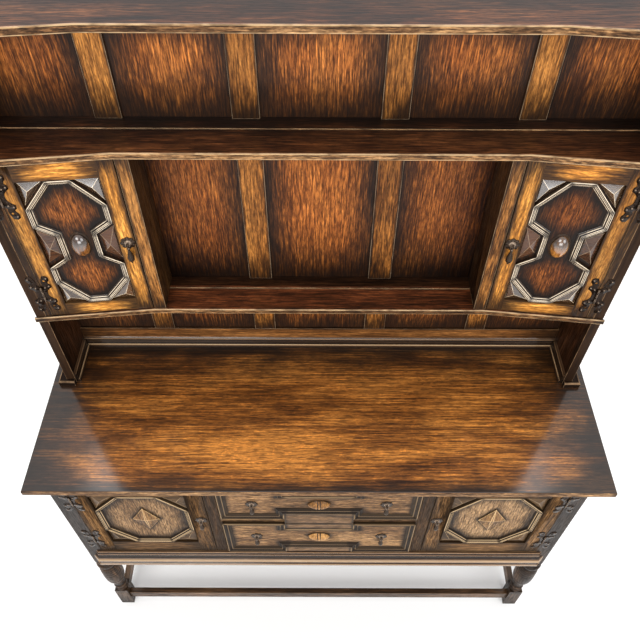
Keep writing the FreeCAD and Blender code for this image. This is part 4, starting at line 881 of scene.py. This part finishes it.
# base doors: octagon, corner pyramids, diamond
for side, tg in ((-1, "left"), (1, "right")):
    sx, body = -side, "base_door_" + tg
    pl = door_place("base", side)
    cx, cz, hx, hz, y0 = sx * 166.5, (-444 + 59 - 46 - 59) / 2, 120.5, 140.0, 8.0
    fx, fz, x1, z1 = 50 / 120 * hx, 59 / 140 * hz, hx - 0.4, hz - 0.4
    octo = [(cx - fx, cz - z1), (cx + fx, cz - z1), (cx + x1, cz - fz), (cx + x1, cz + fz),
            (cx + fx, cz + z1), (cx - fx, cz + z1), (cx - x1, cz + fz), (cx - x1, cz - fz)]
    ring_moulding(body + "_moulding", octo, y0, 1.0, 1.0, pl, body, body + "_ornament", "base_mould",
                  SEC_B)
    tris = []
    for a in (-1, 1):
        for b in (-1, 1):
            tris.append(pyramid([(cx + a * (x1 - 0.6), cz + b * (z1 - 0.6)), (cx + a * (fx + 1.5), cz + b * (z1 - 0.6)),
                                 (cx + a * (x1 - 0.6), cz + b * (fz + 2.0))], y0, 8.6))
    solid_piece(body + "_corners", tris, "base_facet", pl, body, None, "oak_moulding", bevel=0.9)
    w, h = 36.0, 62.0
    low = [(cx - w, y0, cz), (cx, y0, cz - h), (cx + w, y0, cz), (cx, y0, cz + h)]
    mid = [(x, y0 - 3.2, z) for x, _, z in low]
    tips = [(cx - 3.0, y0 - 7.2, cz), (cx + 3.0, y0 - 7.2, cz)]
    dia = (low + mid + tips, [[0, 1, 2, 3], [0, 1, 5, 4], [1, 2, 6, 5], [2, 3, 7, 6], [3, 0, 4, 7],
                              [4, 5, 8], [5, 9, 8], [5, 6, 9], [6, 7, 9], [7, 8, 9], [7, 4, 8]])
    inv = np.array(pl.inverted())

    # diamond: its low plate, downward facets and one side painted darker: painted shade
    def dia_dark(co, nrm, lab, inv=inv, y0=y0):
        y = (co @ inv[:3, :3].T + inv[:3, 3])[:, 1]
        side = (nrm @ inv[:3, :3].T)[:, 0] * 0.001 * sx
        return np.where(y0 - y < 3.0, 0.9, np.where(nrm[:, 2] < -0.02, 0.40, np.where(side > 0.0, 0.16, 0.0)))

    solid_piece(body + "_diamond", [dia], "diamond", pl, body, None, "oak_moulding", bevel=0.8, grain="z", relief=dia_dark, angle=4.0)
    inner = offset_poly(octo, 14.0)
    rhomb = [(cx - w, cz), (cx, cz - h), (cx + w, cz), (cx, cz + h)]

    # darkening inside the octagon and round the diamond: stain with painted shade
    def rel(x, z, octo=octo, inner=inner, rhomb=rhomb):
        d1, in1 = poly_dist(x, z, inner)
        d2, in2 = poly_dist(x, z, rhomb)
        s = np.maximum(fade(d1, 36.0) * 0.94, fade(d2, 16.0) * 0.9)
        return np.where(in1, np.where(in2, 0.9, s), 0.9)

    grid_board(body + "_board", min(sx * 40.5, sx * 292.5), max(sx * 40.5, sx * 292.5), cz - 145.5, cz + 145.5, 8.0, 6.0,
               4.0, "base_panel", pl, body, body + "_panel", "oak_panel", rel)

# cupboard doors: hourglass, pyramids, cabochon
for side, tg in ((-1, "left"), (1, "right")):
    sx, body = -side, "cupboard_door_" + tg
    pl = door_place("cupboard", side)
    cx, hx = sx * (37.0 + 230.5 - 34.0) / 2, (230.5 - 71.0) / 2
    lo, hi = 266.0 + 36.0, 690.0 - 46.0
    cz, hz, y0 = (lo + hi) / 2, (hi - lo) / 2, 7.0
    x1, z1, k = hx - 0.4, hz - 0.4, hz / 171.0
    q = [(24.0, z1), (x1, 105 * k), (x1, 57 * k), (41.0, 31 * k)]
    right = q + [(x, -z) for x, z in reversed(q)]
    poly = [(cx + x, cz + z) for x, z in right] + [(cx - x, cz + z) for x, z in reversed(right)]
    ring_moulding(body + "_moulding", poly, y0, 0.9, 0.94, pl, body, body + "_ornament")
    shells, waist = [], []
    for a in (-1, 1):
        for b in (-1, 1):
            shells.append(pyramid([(cx + a * (x1 - 0.8), cz + b * (z1 - 0.8)), (cx + a * 28.5, cz + b * (z1 - 0.8)),
                                   (cx + a * (x1 - 0.8), cz + b * (105 * k + 6.0))], y0, 9.5))
        waist.append(pyramid([(cx + a * (x1 - 0.8), cz - 46 * k), (cx + a * 46.0, cz - 24 * k),
                               (cx + a * 46.0, cz + 24 * k), (cx + a * (x1 - 0.8), cz + 46 * k)], y0, 10.0))
    solid_piece(body + "_corners", shells, "facet", pl, body, None, "oak_moulding", bevel=0.9)
    solid_piece(body + "_waist", waist, "waist", pl, body, None, "oak_moulding", bevel=0.9)
    # seat ring round the boss painted dark as its shadow; the boss is painted dark at its foot and on its upward faces,
    # painted shade under the coat's reflection
    solid_piece(body + "_boss_seat", [dome_mesh(cx, cz, y0, 23.0, 34.0, 4.0, power=0.8)], "dark", pl, body, None,
                "oak_moulding", bevel=0, grain="z", relief=lambda co, nrm, lab: np.full(len(co), 0.6))
    solid_piece(body + "_boss", [dome_mesh(cx, cz, y0, 19.5, 30.5, 17.0)],
                "boss", pl, body, None, "oak_moulding", bevel=0, grain="z",
                relief=lambda co, nrm, lab, low=proud(pl, y0): np.maximum(low(co, nrm, lab), 0.85 * np.clip(
                    (nrm[:, 2] + 0.12) / 0.3, 0, 1)))
    area = sum(poly[i][0] * poly[(i + 1) % len(poly)][1] - poly[(i + 1) % len(poly)][0] * poly[i][1]
               for i in range(len(poly)))
    inner = offset_poly(poly if area > 0 else poly[::-1], 13.2)

    # darkening inside the hourglass and round the boss: stain with painted shade
    def rel(x, z, inner=inner, cx=cx, cz=cz):
        d1, in1 = poly_dist(x, z, inner)
        e = np.hypot((x - cx) / 23.0, (z - cz) / 34.0)
        d2 = (e - 1.0) * 27.0
        s = np.maximum(fade(d1, 42.0), fade(np.maximum(d2, 0), 34.0) * 0.92)
        return np.where(in1, s, 0.92)

    xs = sorted((sx * 31.5, sx * 202.0))
    grid_board(body + "_board", xs[0], xs[1], lo - 5.5, hi + 5.5, 7.0, 6.0, 3.5, "door_panel", pl, body, body + "_panel",
               "oak_panel", rel)

# drawers: frame moulding stepped over the middle, filling blocks, split turning
for tg, low, zc, oh, ends, bz, pz in (("upper", -244.75, -136.0, 81.0, (-244.2, -46.8), -140.0, -140.0),
                                      ("lower", -445.0, -341.0, 93.0, (-433.5, -247.0), -337.0, -338.0)):
    body = "drawer_" + tg
    pl = door_place("drawer", 0)
    step, s0, ow = 31.0, 91.0, 257.0
    poly = [(ow, -oh), (ow, oh), (s0, oh), (s0, oh - step), (-s0, oh - step), (-s0, oh), (-ow, oh),
            (-ow, -oh), (-s0, -oh), (-s0, -oh + step), (s0, -oh + step), (s0, -oh)]
    poly = [(x, z + zc) for x, z in poly]
    ring_moulding(body + "_moulding", poly, 0.0, 1.0, 1.0, pl, body, body + "_ornament", "base_mould", SEC_D)
    fil = []
    for z0, z1 in ((ends[0], zc - oh + step - 0.5), (zc + oh - step + 0.5, ends[1])):
        f = [(s0 - 0.5, z0), (-s0 + 0.5, z0), (-s0 + 0.5, z1), (s0 - 0.5, z1)]
        fil.append(([(x, 0.0, z) for x, z in f] + [(x, -6.1, z) for x, z in f],
                    [[0, 1, 2, 3], [4, 5, 6, 7], [0, 1, 5, 4], [1, 2, 6, 5], [2, 3, 7, 6], [3, 0, 4, 7]]))
    solid_piece(body + "_blocks", fil, "block", pl, body, None, "oak_moulding", bevel=0.9)
    # almond boss with two bands across the middle
    pts, fs = [], []
    nu, nv = 80, 20
    rr = (30.0 ** 2 + 19.5 ** 2) / (2 * 19.5)
    for i in range(nu + 1):
        x = -30.0 + 60.0 * i / nu
        half = max(0.0, math.sqrt(max(0.0, rr ** 2 - x * x)) - rr + 19.5)
        for j in range(nv + 1):
            v = math.sin(math.pi / 2 * (-1 + 2 * j / nv))
            h = 1.6 + 11.3 * (half / 19.5) ** 0.85 * max(0.0, 1 - abs(v) ** 2.2)
            if abs(abs(x) - 3.6) < 1.2:
                h -= 1.3
            pts.append((x, -h if half > 0.05 else -0.8, bz + half * v))
    for i in range(nu):
        for j in range(nv):
            a = i * (nv + 1) + j
            fs.append([a, a + 1, a + nv + 2, a + nv + 1])
    edge = [i * (nv + 1) for i in range(nu + 1)] + [i * (nv + 1) + nv for i in range(nu, -1, -1)]
    b = len(pts)
    for i in edge:
        pts.append((pts[i][0], 0.0, pts[i][2]))
    for k in range(len(edge)):
        k2 = (k + 1) % len(edge)
        fs.append([edge[k], edge[k2], b + k2, b + k])

    bm = bmesh.new()
    vs = [bm.verts.new(p) for p in pts]
    for f in fs:
        try:
            bm.faces.new([vs[i] for i in f])
        except ValueError:
            pass
    bmesh.ops.remove_doubles(bm, verts=bm.verts, dist=0.02)
    bmesh.ops.recalc_face_normals(bm, faces=bm.faces)
    bm.transform(pl)
    inv = np.array(pl.inverted())

    # the boss's two bands and its foot near the board are painted dark: painted shade
    def rel_boss(co, nrm, lab, inv=inv, bz=bz):
        q = co @ inv[:3, :3].T + inv[:3, 3]
        band = np.abs(np.abs(q[:, 0]) - 3.6) < 1.3
        return np.where(band, 0.9, np.clip((2.6 + q[:, 1]) / 1.2, 0, 1) * 0.8)

    finish_bm(bm, body + "_boss", M["split"], body, None, frames=pl, grain="z", bevel=0, relief=rel_boss, slot="oak_moulding")
    turn = sum(poly[i][0] * poly[(i + 1) % 12][1] - poly[(i + 1) % 12][0] * poly[i][1] for i in range(12)) > 0
    ring_in, ring_out = offset_poly(poly if turn else poly[::-1], 21.2), poly

    # darkening beside the moulding, round the boss and just below each pull plate is painted shade; kd makes the upper
    # drawer lighter, painted light
    def rel(x, z, ring_in=ring_in, ring_out=ring_out, bz=bz, pz=pz, kd=0.68 if tg == "upper" else 1.0):
        d1, in1 = poly_dist(x, z, ring_in)
        d3, in3 = poly_dist(x, z, ring_out)
        e = np.hypot(x / 31.0, (z - bz) / 20.0)
        s = np.maximum(fade(d1, 15.0) * 0.85, fade(np.maximum(e - 1, 0) * 24.0, 13.0) * 0.85)
        for hx in (-171.5, 171.5):
            s = np.maximum(s, fade(np.hypot(x - hx, (z - pz + 8) * 0.7), 24.0) * 0.6)
        return np.where(in1, s * kd, np.where(in3, 0.9, np.maximum(0.12, fade(d3, 7.0) * 0.9) * kd))

    grid_board(body + "_board", -260.0, 260.0, low, low + 198.5, 0.0, 18.0, 4.0, "drawer_lit" if tg == "upper" else "drawer", pl, body, body + "_front",
               "oak", rel, grain="x")

# ----------------------------------------------------------------- front legs


def catmull(points, n):
    """Points on a smooth curve through the given ones."""
    out = []
    p = [points[0]] + list(points) + [points[-1]]
    for i in range(1, len(p) - 2):
        for k in range(n):
            t = k / n
            out.append(tuple(0.5 * (2 * p[i][j] + (p[i + 1][j] - p[i - 1][j]) * t
                                    + (2 * p[i - 1][j] - 5 * p[i][j] + 4 * p[i + 1][j] - p[i + 2][j]) * t * t
                                    + (3 * p[i][j] - p[i - 1][j] - 3 * p[i + 1][j] + p[i + 2][j]) * t ** 3) for j in (0, 1)))
    out.append(points[-1])
    return out


def front_leg(side):
    """Turned leg: cap ring and bead, long bulb scored with fine lines, neck ring, square foot."""
    tg = "left" if side < 0 else "right"
    top, low = -540.0, -790.0
    cap = catmull([(22.0, 0), (24.0, -1), (25.8, -4), (26.0, -8), (25.6, -12), (24.0, -15), (23.0, -17.3)], 4)
    bead = catmull([(23.0, -17.3), (25.5, -20), (28.6, -24), (29.9, -31), (28.6, -38), (26.0, -42), (24.6, -46)], 5)
    bulb = catmull([(24.4, -46), (24.4, -50), (27.4, -56), (29.3, -66), (30.4, -85), (30.9, -110), (30.7, -130),
                    (29.7, -146), (27.4, -160), (23.9, -173), (20.4, -186), (17.9, -197), (16.7, -208)], 6)
    foot = catmull([(16.7, -208), (17.1, -214), (19.4, -217.4), (20.2, -221), (19.4, -224.8), (17.0, -228), (16.1, -232),
                    (17.4, -237), (19.8, -241.5), (20.2, -246), (19.4, -250)], 4)
    base = cap + bead[1:] + bulb[1:] + foot[1:]
    zs = np.array([z for r, z in base])[::-1]
    rs = np.array([r for r, z in base])[::-1]
    lines = (-62.0, -71.0, -84.0, -98.0, -150.0, -178.0)
    z = np.unique(np.round(np.concatenate([np.arange(0.0, -250.5, -1.25), [q + e for q in lines for e in (-1.5, -0.7, 0, 0.7, 1.5)],
                                           [-17.3, -46.0, -50.0, -208.0, -228.0, -232.0]]), 2))[::-1]
    r = np.interp(z, zs, rs)
    for q in lines:
        r = r - 1.0 * np.clip(1.3 - np.abs(z - q) / 1.5, 0, 1)
    seg = 96
    cx, cy = side * 647.5, -388.5
    bm = bmesh.new()
    rows = []
    for rr, zz in zip(r, z):
        rows.append([bm.verts.new((cx + rr * math.cos(2 * math.pi * k / seg), cy + rr * math.sin(2 * math.pi * k / seg),
                                   top + float(zz))) for k in range(seg)])
    for i in range(len(rows) - 1):
        for k in range(seg):
            k2 = (k + 1) % seg
            bm.faces.new([rows[i][k], rows[i][k2], rows[i + 1][k2], rows[i + 1][k]])
    bm.faces.new(rows[0][::-1])
    bm.faces.new(rows[-1])
    for z0, z1 in ((-22.0, top), (low, -905.0)):
        a = 20.5
        q = [[bm.verts.new((cx + sx * a, cy + sy * a, zz)) for sx, sy in ((-1, -1), (1, -1), (1, 1), (-1, 1))] for zz in (z0, z1)]
        bm.faces.new(q[0])
        bm.faces.new(q[1][::-1])
        for k in range(4):
            bm.faces.new([q[0][k], q[1][k], q[1][(k + 1) % 4], q[0][(k + 1) % 4]])
    bmesh.ops.recalc_face_normals(bm, faces=bm.faces)
    bm.transform(Matrix.Translation((0, YO / 1000, ZO / 1000)) @ Matrix.Scale(0.001, 4))

    # darker in the grooves, necks and hollows of the turning: painted shade; the square blocks darker overall
    def rel(co, nrm, lab):
        w = co[:, 2] * 1000 - ZO - top
        dark = np.interp(w, [-250, -247, -238, -232, -226, -221, -216, -210, -200, -186, -165, -140, -110, -56, -50, -44, -40, -31,
                             -24, -18, -14, -8, -2, 0],
                         [0.2, 0.2, 0.5, 0.9, 0.7, 0.0, 0.7, 0.95, 0.75, 0.55, 0.3, 0.12, 0.0, 0.2, 0.95, 0.9, 0.3, 0.0,
                          0.3, 0.95, 0.4, 0.0, 0.1, 0.6])
        for q in lines:
            dark = np.maximum(dark, 0.95 * np.clip(1.6 - np.abs(w - q) / 1.5, 0, 1))
        return np.where((w < 1) & (w > -251), np.clip(dark, 0, 1), 0.85)

    return finish_bm(bm, "front_leg_%s_turned" % tg, M["dark"], "dresser", "front_leg_" + tg, grain="z", bevel=0.0013,
                     relief=rel, angle=60.0, arris_ok=lambda c: not -251.0 < c.z * 1000 - ZO - top < 1.0)


front_leg(-1)
front_leg(1)

# ------------------------------------------------------------------- ironwork
for n in sorted(N):
    if SLOT_OF.get(n) != "iron":
        continue
    side = -1 if "left" in n else 1
    kind = "cupboard" if n.startswith("cupboard") else ("base" if n.startswith("base") else "drawer")
    lo_n, hi_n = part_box(n)

    def worn(co, nrm, lab, n=n, kind=kind, side=side):
        # drops: upward faces get a painted highlight; elsewhere nail heads and raised parts are rubbed brighter, wear
        # with a painted highlight
        if "_drop" in n:
            return 0.10 + 0.60 * np.clip((nrm[:, 2] - 0.35) / 0.45, 0, 1)
        if n == "hinge_leaves":
            h = np.zeros(len(co))
            for kd in ("base", "cupboard"):
                for sd in (-1, 1):
                    inv = np.array(door_place(kd, sd).inverted())
                    q = co @ inv[:3, :3].T + inv[:3, 3]
                    near = (np.abs(q[:, 0]) < 60) & (np.abs(q[:, 1]) < 12)
                    zok = (co[:, 2] < 0.9) if kd == "base" else (co[:, 2] > 1.0)
                    h = np.where(near & zok, -q[:, 1], h)
        else:
            inv = np.array(door_place(kind, side).inverted())
            q = co @ inv[:3, :3].T + inv[:3, 3]
            h = -q[:, 1]
        return np.clip((h - 1.7) / 1.0, 0, 1) * np.where(h > 4, 0.35, 0.9)

    bm = bmesh.new()
    bm.from_mesh(N[n].data)
    bmesh.ops.remove_doubles(bm, verts=bm.verts, dist=2e-6)
    bmesh.ops.recalc_face_normals(bm, faces=bm.faces)
    finish_bm(bm, n + "_worn_and_highlit", M["iron"], BODY_OF[n], n, grain="z", bevel=0, relief=worn, weighted=False)

# ------------------------------------------------------ camera, light and floor
cam_data = bpy.data.cameras.new("camera")
cam = bpy.data.objects.new("camera", cam_data)
scene.collection.objects.link(cam)
pitch, yaw, roll = math.radians(51.03), math.radians(0.107), math.radians(-0.302)
fwd = Vector((math.sin(yaw) * math.cos(pitch), math.cos(yaw) * math.cos(pitch), -math.sin(pitch)))
right = Vector((math.cos(yaw), -math.sin(yaw), 0.0))
down = fwd.cross(right)
r = math.cos(roll) * right + math.sin(roll) * down
d = -math.sin(roll) * right + math.cos(roll) * down
cam.matrix_world = Matrix(((r.x, -d.x, -fwd.x, -0.0014), (r.y, -d.y, -fwd.y, -0.9548), (r.z, -d.z, -fwd.z, 2.3736),
                           (0, 0, 0, 1)))
cam_data.sensor_width = 36.0
cam_data.lens = 682.335 / 640.0 * 36.0
cam_data.shift_y = 19.0 / 640.0
cam_data.clip_end = 60.0
scene.camera = cam

world = bpy.data.worlds.new("studio")
scene.world = world
world.use_nodes = True
wt = world.node_tree
bg = wt.nodes["Background"]
tc = wt.nodes.new("ShaderNodeTexCoord")
sx_ = wt.nodes.new("ShaderNodeSeparateXYZ")
wt.links.new(tc.outputs["Generated"], sx_.inputs[0])
rp = wt.nodes.new("ShaderNodeValToRGB")
e = rp.color_ramp.elements
e[0].position, e[0].color = 0.0, (0.50, 0.50, 0.50, 1)
e[1].position, e[1].color = 1.0, (1.0, 0.99, 0.97, 1)
e.new(0.45).color = (0.55, 0.55, 0.56, 1)
e.new(0.80).color = (1.0, 0.99, 0.98, 1)
wt.links.new(sx_.outputs[2], rp.inputs[0])
wt.links.new(rp.outputs[0], bg.inputs[0])
bg.inputs[1].default_value = 1.15


def area(name, at, to, size, power, colour=(1, 1, 1)):
    d = bpy.data.lights.new(name, "AREA")
    d.shape, d.size, d.size_y, d.energy, d.color = "RECTANGLE", size[0], size[1], power, colour
    o = bpy.data.objects.new(name, d)
    scene.collection.objects.link(o)
    o.location = at
    o.rotation_mode = "QUATERNION"
    o.rotation_quaternion = (Vector(to) - Vector(at)).to_track_quat("-Z", "Y")
    return o


area("key", (-1.6, -3.2, 3.4), (0, 0, 0.9), (2.2, 1.6), 75, (1, 0.98, 0.95))
area("fill", (2.4, -2.6, 2.6), (0, 0, 1.0), (2.0, 1.6), 45, (0.96, 0.98, 1.0))
area("top", (0, 0.9, 4.2), (0, -0.1, 0.9), (3.4, 1.6), 70)
area("window", (0, -4.6, 1.5), (0, 0, 1.3), (3.0, 1.3), 70)

me = bpy.data.meshes.new("floor")
me.from_pydata([(-14, -14, 0), (14, -14, 0), (14, 14, 0), (-14, 14, 0)], [], [(0, 1, 2, 3)])
floor = bpy.data.objects.new("floor", me)
scene.collection.objects.link(floor)
g = Net("floor_pale")
g.bsdf.inputs["Base Color"].default_value = (0.90, 0.90, 0.90, 1)
g.bsdf.inputs["Roughness"].default_value = 0.75
g.bsdf.inputs["Emission Color"].default_value = (1.0, 1.0, 1.0, 1)
g.bsdf.inputs["Emission Strength"].default_value = 0.10
me.materials.append(g.mat)
floor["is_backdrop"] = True

scene.view_settings.view_transform = "Standard"

lo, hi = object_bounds()
